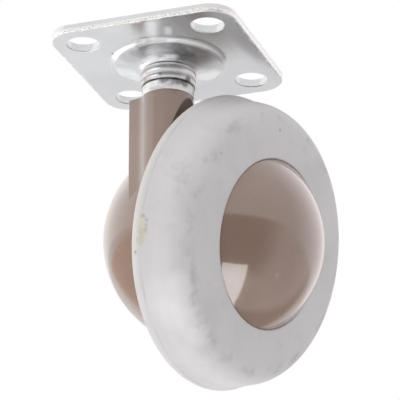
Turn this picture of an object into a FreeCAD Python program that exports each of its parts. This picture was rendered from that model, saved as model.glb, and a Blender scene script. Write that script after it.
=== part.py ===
import FreeCAD, Part
import math
import os

import Sketcher

# A swivel plate caster with a hooded ball wheel, in millimetres.
# Origin: centre of the plate's top face, on the swivel axis, +Z up.
# Swivel frame: the horn's own frame, turned about the swivel axis by rest_turn. Its X points the way the
# wheel faces, its Y along the rolling direction.
# Wheel frame: Z along the inclined axle, outwards, with its origin in the plane of the tyre's opening.

SIZES = {
    # Top plate pressing
    "plate_side": 41.3,
    "plate_thick": 1.85,
    "plate_corner": 5.8,
    "plate_edge": 0.25,
    "hole_spacing": 28.2,
    "hole_dia": 7.0,
    "boss_radius": 12.9,
    "boss_shoulder": 0.9,
    "boss_step": 0.9,
    "boss_round": 0.6,
    "boss_root": 1.2,
    "boss_crest": 0.1,
    "boss_lift": 0.35,
    "boss_drop": 3.5,
    "boss_flare": 7.2,
    "neck_radius": 5.6,
    "neck_drop": 4.5,
    "neck_fillet": 2.2,
    "recess_radius": 11.6,
    "recess_depth": 1.45,
    "recess_floor": 6.4,
    "recess_dish": 0.45,
    # Overshoot of cutting tools
    "cut_over": 1.0,
    # Kingpin with its collar, spring ring and thrust ball
    "pin_radius": 3.2,
    "pin_head_radius": 6.0,
    "pin_head_crown": 0.45,
    "pin_head_rim": 0.85,
    "pin_sink": 3.3,
    "pin_neck_end": 17.0,
    "pin_tip_radius": 1.9,
    "pin_tip_start": 19.0,
    "pin_end": 19.3,
    "collar_radius": 5.9,
    "collar_groove": 5.8,
    "collar_split": 6.1,
    "collar_lip": 7.55,
    "collar_end": 8.05,
    "collar_notch": 0.05,
    "collar_inset": 0.05,
    "bead_upper_radius": 1.4,
    "bead_lower_radius": 1.2,
    "bead_end_radius": 0.5,
    "ring_split": 0.7,
    "ring_play": 0.05,
    "pin_ring_top": 15.8,
    "pin_ring_thick": 0.7,
    "pin_ring_depth": 0.45,
    "pin_ring_radius": 3.6,
    "ball_radius": 2.0,
    "ball_gap": 0.1,
    # Flanged swivel bush
    "swivel_gap": 0.15,
    "flange_radius": 5.65,
    "flange_round": 0.4,
    "sleeve_radius": 3.9,
    "sleeve_end": 15.5,
    "running_fit": 0.05,
    # Horn and hood casting
    "rest_turn": -14.4,
    "axle_tilt": 13.9,
    "trail": 17.7,
    "wheel_reach": 15.0,
    "wheel_drop": 41.5,
    "horn_radius": 5.77,
    "horn_top": 10.67,
    "horn_foot": 34.5,
    "horn_back": 7.4,
    "horn_back_end": 33.4,
    "horn_half_width": 4.15,
    "horn_draft": 0.2,
    "horn_valley": 1.2,
    "horn_corner": 0.3,
    "horn_blend": 2.0,
    "socket_end": 25.5,
    "socket_well": 16.9,
    "socket_step": 19.3,
    "socket_ledge": 0.3,
    "hood_radius": 22.5,
    "hood_wall": 2.2,
    "hood_mouth": 16.1,
    "hood_lip": 1.2,
    "post_radius": 7.0,
    "post_face": 19.2,
    "post_root": 37.4,
    "rib_half_thick": 0.8,
    "rib_face": 24.5,
    "rib_count": 4,
    # Axle, washer, bush and spring ring
    "axle_radius": 4.0,
    "axle_root": 36.4,
    "axle_tip": 2.6,
    "axle_chamfer": 0.6,
    "washer_thick": 1.0,
    "washer_radius": 6.8,
    "wheel_gap": 0.3,
    "bush_radius": 5.2,
    "bush_flange": 1.2,
    "bush_front": 0.4,
    "axle_ring_start": 0.2,
    "axle_ring_thick": 0.8,
    "axle_ring_depth": 0.6,
    "axle_ring_radius": 4.85,
    # Wheel casting
    "dome_radius": 22.4,
    "dome_centre": 13.3,
    "dome_wall": 1.8,
    "rim_radius": 18.2,
    "rim_inside": 15.0,
    "rim_back": 14.8,
    "rim_flange": 19.6,
    "rim_flange_face": 13.4,
    "groove_radius": 16.7,
    "groove_front": 3.8,
    "groove_back": 9.8,
    "groove_slope": 0.8,
    "hub_radius": 7.6,
    "hub_end": 4.0,
    "wheel_rib_count": 6,
    "wheel_rib_face": 11.5,
    "rib_bury": 0.5,
    # Tyre
    "tyre_lip": 0.2,
    "face_edge": 26.2,
    "face_fall": 0.9,
    "shoulder_front": 5.45,
    "shoulder_front_radius": 30.35,
    "shoulder_back": 11.3,
    "tyre_radius": 31.8,
    "tread_valley": 0.3,
    "tread_curve": 9.0,
    "tyre_back": 14.0,
    "tyre_back_edge": 29.3,
    "shoulder_arc_front": 5.3,
    "shoulder_arc_back": 2.8,
}

# Distance under which two places count as the same
TOUCH = 1e-6

doc = FreeCAD.newDocument("SwivelCaster")
sheet = doc.addObject("Spreadsheet::Sheet", "Dim")
for row, (alias, number) in enumerate(SIZES.items(), start=1):
    sheet.set(f"A{row}", alias)
    sheet.set(f"B{row}", str(number))
    sheet.setAlias(f"B{row}", alias)
doc.recompute()


def size(text):
    """Value of an expression over the sheet."""
    return float(sheet.evalExpression(text))


def frames():
    """Placements of the swivel frame and of the wheel frame in the caster's own frame."""
    turn = FreeCAD.Rotation(FreeCAD.Vector(0, 0, 1), size("Dim.rest_turn"))
    swivel = FreeCAD.Placement(FreeCAD.Vector(), turn)
    lean = FreeCAD.Rotation(FreeCAD.Vector(0, 1, 0), 90 + size("Dim.axle_tilt"))
    hub = FreeCAD.Vector(size("Dim.wheel_reach"), size("Dim.trail"), -size("Dim.wheel_drop"))
    return swivel, swivel.multiply(FreeCAD.Placement(hub, lean))


SWIVEL_FRAME, WHEEL_FRAME = frames()


def new_body(label, placement=None):
    """An empty body that becomes one piece of the caster."""
    body = doc.addObject("PartDesign::Body", label)
    body.Label = label
    if placement is not None:
        body.Placement = placement
    return body


def new_sketch(body, name, role, offset=None):
    """A sketch on one of the body's own origin planes, shifted and turned by offset."""
    plane = next(feature for feature in body.Origin.OriginFeatures if feature.Role == role)
    sketch = body.newObject("Sketcher::SketchObject", name)
    sketch.AttachmentSupport = (plane, "")
    sketch.MapMode = "FlatFace"
    if offset is not None:
        sketch.AttachmentOffset = offset
    return sketch


def tie(sketch, constraint, text):
    """Add a dimension to the sketch and bind it to an expression over the sheet."""
    index = sketch.addConstraint(constraint)
    sketch.setExpression(f"Constraints[{index}]", text)


def tie_point(sketch, edge, end, x_text, y_text):
    """Fix one end of an edge at (x, y) from the sketch's origin."""
    for kind, text, axis in (("DistanceX", x_text, -2), ("DistanceY", y_text, -1)):
        if text == "0":
            sketch.addConstraint(Sketcher.Constraint("PointOnObject", edge, end, axis))
        else:
            tie(sketch, Sketcher.Constraint(kind, -1, 1, edge, end, size(text)), text)


def arc_between(start, end, radius, turn):
    """The shorter arc from start to end that turns left (+1) or right (-1)."""
    chord = end - start
    half = chord.Length / 2
    side = FreeCAD.Vector(-chord.y, chord.x, 0) / chord.Length * turn
    sagitta = radius - math.sqrt(max(radius * radius - half * half, 0.0))
    return Part.Arc(start, (start + end) / 2 - side * sagitta, end)


def outline(sketch, corners):
    """Draw a closed outline and tie each corner to the sheet.

    A corner is (x, y) at the end of a straight run, or (x, y, radius, turn) at the end of an arc.
    """
    points = [FreeCAD.Vector(size(corner[0]), size(corner[1]), 0) for corner in corners]
    heads = []
    for index, corner in enumerate(corners):
        start, end = points[index - 1], points[index]
        if len(corner) == 2:
            edge = sketch.addGeometry(Part.LineSegment(start, end), False)
        else:
            edge = sketch.addGeometry(arc_between(start, end, size(corner[2]), corner[3]), False)
        is_forward = (sketch.getPoint(edge, 2) - end).Length < (sketch.getPoint(edge, 1) - end).Length
        heads.append(2 if is_forward else 1)
    for index, corner in enumerate(corners):
        previous = (index - 1) % len(corners)
        tail = 3 - heads[index]
        sketch.addConstraint(Sketcher.Constraint("Coincident", previous, heads[previous], index, tail))
        tie_point(sketch, index, heads[index], corner[0], corner[1])
        if len(corner) > 2:
            tie(sketch, Sketcher.Constraint("Radius", index, size(corner[2])), corner[2])


def circle(sketch, x_text, y_text, radius_text):
    """Draw a circle whose centre and radius are tied to the sheet."""
    centre = FreeCAD.Vector(size(x_text), size(y_text), 0)
    shape = Part.Circle(centre, FreeCAD.Vector(0, 0, 1), size(radius_text))
    edge = sketch.addGeometry(shape, False)
    tie_point(sketch, edge, 3, x_text, y_text)
    tie(sketch, Sketcher.Constraint("Radius", edge, size(radius_text)), radius_text)


def revolve(body, kind, sketch, axis):
    """Revolution or Groove of a sketch through a full turn about one of its axes."""
    feature = body.newObject(f"PartDesign::{kind}", f"{sketch.Name}_{kind}")
    feature.Profile = sketch
    feature.ReferenceAxis = (sketch, [axis])
    feature.Angle = 360
    return feature


def pad(body, sketch, length, both_sides=False, downwards=False):
    """Pad of a sketch by a length bound to the sheet."""
    feature = body.newObject("PartDesign::Pad", f"{sketch.Name}_Pad")
    feature.Profile = sketch
    feature.setExpression("Length", length)
    feature.Midplane = both_sides
    feature.Reversed = downwards
    return feature


def around(body, feature, axis, count):
    """Repeat a feature evenly about an axis."""
    pattern = body.newObject("PartDesign::PolarPattern", f"{feature.Name}_Pattern")
    pattern.Originals = [feature]
    pattern.Axis = axis
    pattern.Angle = 360
    pattern.setExpression("Occurrences", count)
    body.Tip = pattern
    return pattern


def round_edges(body, radius, chosen):
    """Fillet the edges of the body's present shape that a test picks out."""
    doc.recompute()
    base = body.Tip
    names = [f"Edge{n}" for n, edge in enumerate(base.Shape.Edges, start=1) if chosen(edge)]
    if not names:
        raise RuntimeError(f"{body.Label}: no edge to round by {radius}")
    feature = body.newObject("PartDesign::Fillet", f"{base.Name}_Fillet")
    feature.Base = (base, names)
    feature.setExpression("Radius", radius)
    return feature


def turned(label, corners, placement=None):
    """A piece turned about its own Z axis, from its half section (radius, height)."""
    body = new_body(label, placement)
    sketch = new_sketch(body, f"{label}_section", "XZ_Plane")
    outline(sketch, corners)
    revolve(body, "Revolution", sketch, "V_Axis")
    return body


def split_ring(label, inner, outer, start, thick, placement=None):
    """A flat spring ring with a gap, lying from start upwards along its axis."""
    end = f"{start} + {thick}"
    body = turned(label, [(inner, start), (outer, start), (outer, end), (inner, end)], placement)
    gap = new_sketch(body, f"{label}_gap", "XZ_Plane")
    reach = f"{outer} + Dim.cut_over"
    low, high = f"{start} - Dim.cut_over", f"{end} + Dim.cut_over"
    outline(gap, [("0", low), (reach, low), (reach, high), ("0", high)])
    cut = body.newObject("PartDesign::Pocket", f"{label}_cut")
    cut.Profile = gap
    cut.Midplane = True
    cut.setExpression("Length", "2 * Dim.ring_split")
    return body


def make_top_plate():
    """The pressed plate: flat square, drawn boss with a neck, head recess and screw holes."""
    body = new_body("top_plate")
    blank = new_sketch(body, "plate_blank", "XY_Plane")
    near, far = "Dim.plate_side / 2 - Dim.plate_corner", "Dim.plate_side / 2"
    corner = ("Dim.plate_corner", 1)
    outline(blank, [
        (far, f"-({near})", *corner),
        (far, near),
        (near, far, *corner),
        (f"-({near})", far),
        (f"-({far})", near, *corner),
        (f"-({far})", f"-({near})"),
        (f"-({near})", f"-({far})", *corner),
        (near, f"-({far})"),
    ])
    pad(body, blank, "Dim.plate_thick", downwards=True)

    boss = new_sketch(body, "plate_boss", "XZ_Plane")
    shoulder = "Dim.boss_radius - Dim.boss_shoulder"
    step = "-(Dim.plate_thick + Dim.boss_step)"
    outline(boss, [
        ("0", "-Dim.plate_thick / 2"),
        ("0", "-Dim.neck_drop"),
        ("Dim.neck_radius", "-Dim.neck_drop"),
        ("Dim.boss_flare", "-Dim.boss_drop", "Dim.neck_fillet", -1),
        (f"{shoulder} - Dim.boss_round", f"{step} - Dim.boss_crest"),
        (shoulder, f"{step} + Dim.boss_lift", "Dim.boss_round", 1),
        ("Dim.boss_radius", "-Dim.plate_thick", "Dim.boss_root", -1),
        ("Dim.boss_radius", "-Dim.plate_thick / 2"),
    ])
    revolve(body, "Revolution", boss, "V_Axis")

    recess = new_sketch(body, "plate_recess", "XZ_Plane")
    outline(recess, [
        ("0", "Dim.cut_over"),
        ("0", "-(Dim.neck_drop + Dim.cut_over)"),
        ("Dim.pin_radius", "-(Dim.neck_drop + Dim.cut_over)"),
        ("Dim.pin_radius", "-Dim.pin_sink"),
        ("Dim.recess_floor", "-Dim.recess_depth"),
        ("Dim.recess_radius - Dim.boss_shoulder", "-(Dim.recess_depth - Dim.recess_dish)"),
        ("Dim.recess_radius", "0"),
        ("Dim.recess_radius", "Dim.cut_over"),
    ])
    revolve(body, "Groove", recess, "V_Axis")

    holes = new_sketch(body, "screw_holes", "XY_Plane")
    for x_sign in ("", "-"):
        for y_sign in ("", "-"):
            spot = "Dim.hole_spacing / 2"
            circle(holes, f"{x_sign}{spot}", f"{y_sign}{spot}", "Dim.hole_dia / 2")
    drill = body.newObject("PartDesign::Pocket", "screw_holes_cut")
    drill.Profile = holes
    drill.Type = "ThroughAll"
    drill.Midplane = True

    half = size("Dim.plate_side") / 2
    round_edges(body, "Dim.plate_edge", lambda edge: is_rim(edge, half))
    return body


def is_rim(edge, half):
    """Whether an edge runs along the plate's outside, flat on its top or bottom face."""
    box = edge.BoundBox
    reach = max(abs(box.XMin), abs(box.XMax), abs(box.YMin), abs(box.YMax))
    return box.ZLength < TOUCH and abs(reach - half) < TOUCH


def make_kingpin():
    """The riveted pin: crowned head in the plate's recess, ring groove and tapered tip."""
    groove_bottom = "-(Dim.pin_ring_top + Dim.pin_ring_thick + Dim.ring_play)"
    groove_top = "-(Dim.pin_ring_top - Dim.ring_play)"
    floor = "(Dim.pin_sink - Dim.recess_depth) / (Dim.recess_floor - Dim.pin_radius)"
    seat = f"-(Dim.pin_sink - (Dim.pin_head_radius - Dim.pin_radius) * {floor})"
    return turned("kingpin", [
        ("0", "-Dim.pin_head_crown"),
        ("0", "-Dim.pin_end"),
        ("Dim.pin_tip_radius - (Dim.pin_end - Dim.pin_tip_start)", "-Dim.pin_end"),
        ("Dim.pin_tip_radius", "-Dim.pin_tip_start"),
        ("Dim.pin_radius", "-Dim.pin_neck_end"),
        ("Dim.pin_radius", groove_bottom),
        ("Dim.pin_radius - Dim.pin_ring_depth", groove_bottom),
        ("Dim.pin_radius - Dim.pin_ring_depth", groove_top),
        ("Dim.pin_radius", groove_top),
        ("Dim.pin_radius", "-Dim.pin_sink"),
        ("Dim.pin_head_radius", seat),
        ("Dim.pin_head_radius", "-Dim.pin_head_rim"),
    ])


def make_ridged_collar():
    """The collar under the boss, with two beads and a narrow end lip."""
    return turned("ridged_collar", [
        ("Dim.pin_radius", "-Dim.neck_drop"),
        ("Dim.pin_radius", "-Dim.collar_end"),
        ("Dim.collar_radius", "-Dim.collar_end"),
        ("Dim.collar_groove", "-(Dim.collar_lip + Dim.collar_notch)", "Dim.bead_end_radius", 1),
        ("Dim.collar_groove", "-(Dim.collar_lip - Dim.collar_notch)"),
        ("Dim.collar_groove", "-(Dim.collar_split + Dim.collar_notch)", "Dim.bead_lower_radius", 1),
        ("Dim.collar_groove", "-(Dim.collar_split - Dim.collar_notch)"),
        ("Dim.collar_radius - Dim.collar_inset", "-Dim.neck_drop", "Dim.bead_upper_radius", 1),
    ])


def make_swivel_bush():
    """The flanged bush in the top of the horn."""
    bore = "Dim.pin_radius + Dim.running_fit"
    top = "-(Dim.collar_end + Dim.swivel_gap)"
    return turned("swivel_bush", [
        (bore, top),
        (bore, "-Dim.sleeve_end"),
        ("Dim.sleeve_radius", "-Dim.sleeve_end"),
        ("Dim.sleeve_radius", "-Dim.horn_top"),
        ("Dim.flange_radius", "-Dim.horn_top"),
        ("Dim.flange_radius", f"{top} - Dim.flange_round"),
        ("Dim.flange_radius - Dim.flange_round", top, "Dim.flange_round", 1),
    ])


def make_thrust_ball():
    """The ball in the bottom of the socket."""
    centre = "-(Dim.pin_end + Dim.ball_gap + Dim.ball_radius)"
    return turned("thrust_ball", [
        ("0", f"{centre} - Dim.ball_radius"),
        ("Dim.ball_radius", centre, "Dim.ball_radius", 1),
        ("0", f"{centre} + Dim.ball_radius", "Dim.ball_radius", 1),
    ])


def axle_plane():
    """Offset of an upright sketch plane that holds the axle: sketch X runs outwards along it."""
    base = FreeCAD.Vector(size("Dim.wheel_reach"), -size("Dim.wheel_drop"), -size("Dim.trail"))
    return FreeCAD.Placement(base, FreeCAD.Rotation(FreeCAD.Vector(0, 0, 1), -size("Dim.axle_tilt")))


def is_upright(edge, is_corner):
    """Whether an edge runs down the horn, along its squared back or in the valley beside the column."""
    box = edge.BoundBox
    is_long = box.ZLength > size("Dim.horn_foot - Dim.horn_top") / 2
    is_side = abs(box.YMin + box.YMax) > size("Dim.horn_half_width")
    is_back = box.XMax < -size("Dim.horn_radius")
    return is_long and is_side and is_back == is_corner and box.XMax < 0


def is_back_seam(edge):
    """Whether an edge is the seam where the horn's squared back runs into the ball."""
    box = edge.BoundBox
    span = size("Dim.horn_half_width")
    return box.XMax < -size("Dim.horn_radius") and box.YLength > span and box.ZLength > span


def make_horn_hood():
    """The casting: half-ball hood, horn with a squared back, socket, axle post and ribs."""
    body = new_body("horn_hood", SWIVEL_FRAME)
    centre = "(Dim.hood_mouth + Dim.hood_lip)"
    inside = "(Dim.hood_radius - Dim.hood_wall)"

    foot_radius = "(Dim.horn_radius - Dim.horn_draft)"
    column = new_sketch(body, "horn_column", "XZ_Plane")
    outline(column, [
        ("0", "-Dim.horn_top"),
        ("0", f"-(Dim.horn_foot + {foot_radius})"),
        (foot_radius, "-Dim.horn_foot", foot_radius, 1),
        ("Dim.horn_radius", "-Dim.horn_top"),
    ])
    revolve(body, "Revolution", column, "V_Axis")

    top = FreeCAD.Placement(FreeCAD.Vector(0, 0, -size("Dim.horn_top")), FreeCAD.Rotation())
    back = new_sketch(body, "horn_back", "XY_Plane", top)
    outline(back, [
        ("-Dim.horn_back", "-Dim.horn_half_width"),
        ("0", "-Dim.horn_half_width"),
        ("0", "Dim.horn_half_width"),
        ("-Dim.horn_back", "Dim.horn_half_width"),
    ])
    web = pad(body, back, "Dim.horn_back_end - Dim.horn_top", downwards=True)
    web.setExpression("TaperAngle", "-atan(Dim.horn_draft / (Dim.horn_foot - Dim.horn_top))")
    round_edges(body, "Dim.horn_valley", lambda edge: is_upright(edge, is_corner=False))
    round_edges(body, "Dim.horn_corner", lambda edge: is_upright(edge, is_corner=True))

    ball = new_sketch(body, "hood_ball", "XZ_Plane", axle_plane())
    outline(ball, [
        (f"-({centre} + Dim.hood_radius)", "0", "Dim.hood_radius", 1),
        ("-Dim.hood_mouth", "0"),
        ("-Dim.hood_mouth", "sqrt(Dim.hood_radius^2 - Dim.hood_lip^2)"),
        (f"-{centre}", "Dim.hood_radius", "Dim.hood_radius", 1),
    ])
    revolve(body, "Revolution", ball, "H_Axis")
    round_edges(body, "Dim.horn_blend", is_back_seam)

    cavity = new_sketch(body, "hood_cavity", "XZ_Plane", axle_plane())
    outline(cavity, [
        (f"-({centre} + {inside})", "0", inside, 1),
        ("0", "0"),
        ("0", f"sqrt({inside}^2 - Dim.hood_lip^2)"),
        ("-Dim.hood_mouth", f"sqrt({inside}^2 - Dim.hood_lip^2)"),
        (f"-{centre}", inside, inside, 1),
    ])
    revolve(body, "Groove", cavity, "H_Axis")

    socket = new_sketch(body, "socket_boss", "XY_Plane", top)
    circle(socket, "0", "0", foot_radius)
    pad(body, socket, "Dim.socket_end - Dim.horn_top", downwards=True)

    post = new_sketch(body, "axle_post", "XZ_Plane", axle_plane())
    outline(post, [
        ("-Dim.post_root", "0"),
        ("-Dim.post_face", "0"),
        ("-Dim.post_face", "Dim.post_radius"),
        ("-Dim.post_root", "Dim.post_radius"),
    ])
    revolve(body, "Revolution", post, "H_Axis")

    rib = new_sketch(body, "hood_rib", "XZ_Plane", axle_plane())
    rim = "(Dim.hood_radius - Dim.hood_wall / 2)"
    outline(rib, [
        (f"-({centre} + sqrt({rim}^2 - Dim.axle_radius^2))", "Dim.axle_radius", rim, 1),
        ("-Dim.rib_face", "Dim.axle_radius"),
        ("-Dim.rib_face", f"sqrt({rim}^2 - (Dim.rib_face - {centre})^2)"),
    ])
    fin = pad(body, rib, "2 * Dim.rib_half_thick", both_sides=True)
    around(body, fin, (ball, ["H_Axis"]), "Dim.rib_count")

    mouth = new_sketch(body, "hood_mouth", "XZ_Plane", axle_plane())
    reach = "2 * Dim.wheel_drop"
    outline(mouth, [
        ("-Dim.hood_mouth", "0"),
        ("Dim.wheel_drop", "0"),
        ("Dim.wheel_drop", reach),
        ("-Dim.hood_mouth", reach),
    ])
    revolve(body, "Groove", mouth, "H_Axis")

    bore = new_sketch(body, "socket_bore", "XZ_Plane")
    seat = "-(Dim.pin_end + Dim.ball_gap + Dim.ball_radius)"
    outline(bore, [
        ("0", "-(Dim.horn_top - Dim.cut_over)"),
        ("0", f"{seat} - Dim.ball_radius"),
        ("Dim.ball_radius", seat, "Dim.ball_radius", 1),
        ("Dim.ball_radius", "-Dim.socket_step"),
        ("Dim.ball_radius + Dim.socket_ledge", "-Dim.socket_step"),
        ("Dim.sleeve_radius", "-Dim.socket_well"),
        ("Dim.sleeve_radius", "-(Dim.horn_top - Dim.cut_over)"),
    ])
    revolve(body, "Groove", bore, "V_Axis")

    seat_hole = new_sketch(body, "axle_hole", "XZ_Plane", axle_plane())
    outline(seat_hole, [
        ("-Dim.axle_root", "0"),
        ("-(Dim.post_face - Dim.cut_over)", "0"),
        ("-(Dim.post_face - Dim.cut_over)", "Dim.axle_radius"),
        ("-Dim.axle_root", "Dim.axle_radius"),
    ])
    revolve(body, "Groove", seat_hole, "H_Axis")
    return body


def make_axle():
    """The pressed-in axle with its ring groove, in the wheel frame."""
    groove_start = "Dim.axle_ring_start - Dim.ring_play"
    groove_end = "Dim.axle_ring_start + Dim.axle_ring_thick + Dim.ring_play"
    waist = "Dim.axle_radius - Dim.axle_ring_depth"
    return turned("axle", [
        ("0", "-Dim.axle_root"),
        ("Dim.axle_radius", "-Dim.axle_root"),
        ("Dim.axle_radius", groove_start),
        (waist, groove_start),
        (waist, groove_end),
        ("Dim.axle_radius", groove_end),
        ("Dim.axle_radius", "Dim.axle_tip - Dim.axle_chamfer"),
        ("Dim.axle_radius - Dim.axle_chamfer", "Dim.axle_tip"),
        ("0", "Dim.axle_tip"),
    ], WHEEL_FRAME)


def make_axle_washer():
    """The thrust washer on the face of the axle post."""
    bore, face = "Dim.axle_radius + Dim.running_fit", "-Dim.post_face + Dim.washer_thick"
    return turned("axle_washer", [
        (bore, "-Dim.post_face"),
        ("Dim.washer_radius", "-Dim.post_face"),
        ("Dim.washer_radius", face),
        (bore, face),
    ], WHEEL_FRAME)


BUSH_BACK = "-Dim.post_face + Dim.washer_thick + Dim.wheel_gap"


def make_wheel_bush():
    """The flanged bush that the wheel turns on."""
    bore = "Dim.axle_radius + Dim.running_fit"
    return turned("wheel_bush", [
        (bore, BUSH_BACK),
        ("Dim.washer_radius", BUSH_BACK),
        ("Dim.washer_radius", f"{BUSH_BACK} + Dim.bush_flange"),
        ("Dim.bush_radius", f"{BUSH_BACK} + Dim.bush_flange"),
        ("Dim.bush_radius", "-Dim.bush_front"),
        (bore, "-Dim.bush_front"),
    ], WHEEL_FRAME)


def make_wheel_dome():
    """The wheel casting: a dome that runs down to the grooved rim, with hub and ribs."""
    inside = "(Dim.dome_radius - Dim.dome_wall)"
    hub_face = f"{BUSH_BACK} + Dim.bush_flange"
    body = turned("wheel_dome", [
        ("0", "Dim.hub_end"),
        ("Dim.bush_radius", "Dim.hub_end"),
        ("Dim.bush_radius", hub_face),
        ("Dim.hub_radius", hub_face),
        ("Dim.hub_radius", f"sqrt({inside}^2 - Dim.hub_radius^2) - Dim.dome_centre"),
        ("Dim.rim_inside", f"sqrt({inside}^2 - Dim.rim_inside^2) - Dim.dome_centre", inside, -1),
        ("Dim.rim_inside", "-Dim.rim_back"),
        ("Dim.rim_flange", "-Dim.rim_back"),
        ("Dim.rim_flange", "-Dim.rim_flange_face"),
        ("Dim.rim_radius", "-Dim.rim_flange_face"),
        ("Dim.rim_radius", "-Dim.groove_back"),
        ("Dim.groove_radius", "-(Dim.groove_back - Dim.groove_slope)"),
        ("Dim.groove_radius", "-(Dim.groove_front + Dim.groove_slope)"),
        ("Dim.rim_radius", "-Dim.groove_front"),
        ("Dim.rim_radius", "sqrt(Dim.dome_radius^2 - Dim.rim_radius^2) - Dim.dome_centre"),
        ("0", "Dim.dome_radius - Dim.dome_centre", "Dim.dome_radius", 1),
    ], WHEEL_FRAME)
    rib = new_sketch(body, "wheel_rib", "XZ_Plane")
    root = "(Dim.dome_radius - Dim.dome_wall / 2)"
    inner, outer = "(Dim.hub_radius - Dim.rib_bury)", "(Dim.rim_inside + Dim.rib_bury)"
    outline(rib, [
        (inner, "-Dim.wheel_rib_face"),
        (outer, "-Dim.wheel_rib_face"),
        (outer, f"sqrt({root}^2 - {outer}^2) - Dim.dome_centre"),
        (inner, f"sqrt({root}^2 - {inner}^2) - Dim.dome_centre", root, 1),
    ])
    web = pad(body, rib, "2 * Dim.rib_half_thick", both_sides=True)
    around(body, web, (rib, ["V_Axis"]), "Dim.wheel_rib_count")
    return body


def make_tyre():
    """The solid tyre: flat face, round shoulders, conical tread with a faint valley."""
    valley = "(Dim.shoulder_front_radius + Dim.tyre_radius) / 2 - Dim.tread_valley"
    middle = "-(Dim.shoulder_front + Dim.shoulder_back) / 2"
    return turned("tyre", [
        ("Dim.rim_radius", "-Dim.tyre_lip"),
        ("Dim.rim_radius", "-Dim.groove_front"),
        ("Dim.groove_radius", "-(Dim.groove_front + Dim.groove_slope)"),
        ("Dim.groove_radius", "-(Dim.groove_back - Dim.groove_slope)"),
        ("Dim.rim_radius", "-Dim.groove_back"),
        ("Dim.rim_radius", "-Dim.rim_flange_face"),
        ("Dim.rim_flange", "-Dim.rim_flange_face"),
        ("Dim.tyre_back_edge", "-Dim.tyre_back"),
        ("Dim.tyre_radius", "-Dim.shoulder_back", "Dim.shoulder_arc_back", 1),
        (valley, middle, "Dim.tread_curve", 1),
        ("Dim.shoulder_front_radius", "-Dim.shoulder_front", "Dim.tread_curve", 1),
        ("Dim.face_edge", "-Dim.face_fall", "Dim.shoulder_arc_front", 1),
        ("Dim.rim_radius + Dim.tyre_lip", "0"),
    ], WHEEL_FRAME)


def make_rings():
    """The two spring rings: one below the swivel bush, one in front of the wheel bush."""
    pin_ring = split_ring(
        "kingpin_ring", "Dim.pin_radius - Dim.pin_ring_depth", "Dim.pin_ring_radius",
        "-(Dim.pin_ring_top + Dim.pin_ring_thick)", "Dim.pin_ring_thick")
    axle_ring = split_ring(
        "axle_ring", "Dim.axle_radius - Dim.axle_ring_depth", "Dim.axle_ring_radius",
        "Dim.axle_ring_start", "Dim.axle_ring_thick", WHEEL_FRAME)
    return [pin_ring, axle_ring]


def write_parts(pieces):
    """Check every object of the document, then write one STEP file for each piece."""
    doc.recompute()
    for item in doc.Objects:
        if "Invalid" in item.State or "Error" in item.State:
            raise RuntimeError(f"{item.Label} failed: {item.State}")
    for piece in pieces:
        if piece.Shape.isNull() or not piece.Shape.isValid() or len(piece.Shape.Solids) != 1:
            raise RuntimeError(f"{piece.Label} is not one valid solid")
    os.makedirs("parts", exist_ok=True)
    for piece in pieces:
        piece.Shape.exportStep(f"parts/{piece.Label}.step")
        print(f"{piece.Label}: {piece.Shape.Volume:.1f} cubic mm")


write_parts([
    make_top_plate(),
    make_kingpin(),
    make_ridged_collar(),
    make_swivel_bush(),
    make_thrust_ball(),
    make_horn_hood(),
    make_axle(),
    make_axle_washer(),
    make_wheel_bush(),
    make_wheel_dome(),
    make_tyre(),
    *make_rings(),
])
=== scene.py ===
import logging
import math
from collections.abc import Mapping, Sequence
from dataclasses import dataclass
from enum import Enum

import bmesh
import bpy
import numpy as np
from mathutils import Matrix


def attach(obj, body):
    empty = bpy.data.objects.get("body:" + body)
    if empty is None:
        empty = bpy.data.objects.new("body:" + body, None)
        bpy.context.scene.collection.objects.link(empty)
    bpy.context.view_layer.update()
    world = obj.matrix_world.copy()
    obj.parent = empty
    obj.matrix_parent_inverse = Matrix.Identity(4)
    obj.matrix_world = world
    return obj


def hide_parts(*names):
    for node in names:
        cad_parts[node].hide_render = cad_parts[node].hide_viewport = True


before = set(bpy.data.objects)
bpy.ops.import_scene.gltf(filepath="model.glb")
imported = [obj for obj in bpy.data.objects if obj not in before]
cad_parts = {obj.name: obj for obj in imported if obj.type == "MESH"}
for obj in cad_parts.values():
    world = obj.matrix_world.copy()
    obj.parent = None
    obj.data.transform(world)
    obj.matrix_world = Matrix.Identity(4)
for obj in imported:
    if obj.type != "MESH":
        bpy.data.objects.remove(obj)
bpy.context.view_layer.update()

# A swivel plate caster with a hooded ball wheel. Sizes are in millimetres and meshes in metres.
# Origin: centre of the plate's top face, on the swivel axis, +Z up.

log = logging.getLogger("caster")

MM = 0.001
FULL_TURN = 2 * math.pi
QUARTER_TURN = math.pi / 2
QUARTER_SPIN = np.array([[0.0, 1.0, 0.0], [-1.0, 0.0, 0.0], [0.0, 0.0, 1.0]])
MERGE_DISTANCE = 2e-7
TINY = 1e-6
BELL_REACH = 4
RIB_POINTS = 80

Array = np.ndarray
Colour = tuple[float, float, float]
Point = tuple[float, float, float]
Span = tuple[float, float]


class Body(Enum):
    """The caster's rigid bodies."""

    PLATE = "plate"
    SWIVEL = "swivel"
    WHEEL = "wheel"


class End(Enum):
    """How a section's line ends: it closes on itself, meets its axis, or stops at a fixed point."""

    RING = "ring"
    AXIS = "axis"
    FIXED = "fixed"


@dataclass(frozen=True)
class Axes:
    """A right-handed frame in the caster's own frame, in millimetres."""

    origin: Array
    x: Array
    y: Array
    z: Array

    def place(self, points: Array) -> Array:
        """Move points from this frame into the caster's frame.

        Args:
            points: an array whose last axis is (x, y, z) in this frame.

        Returns:
            The same points in the caster's frame: origin + x X + y Y + z Z.
        """
        return self.origin + points @ np.stack([self.x, self.y, self.z])


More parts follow.
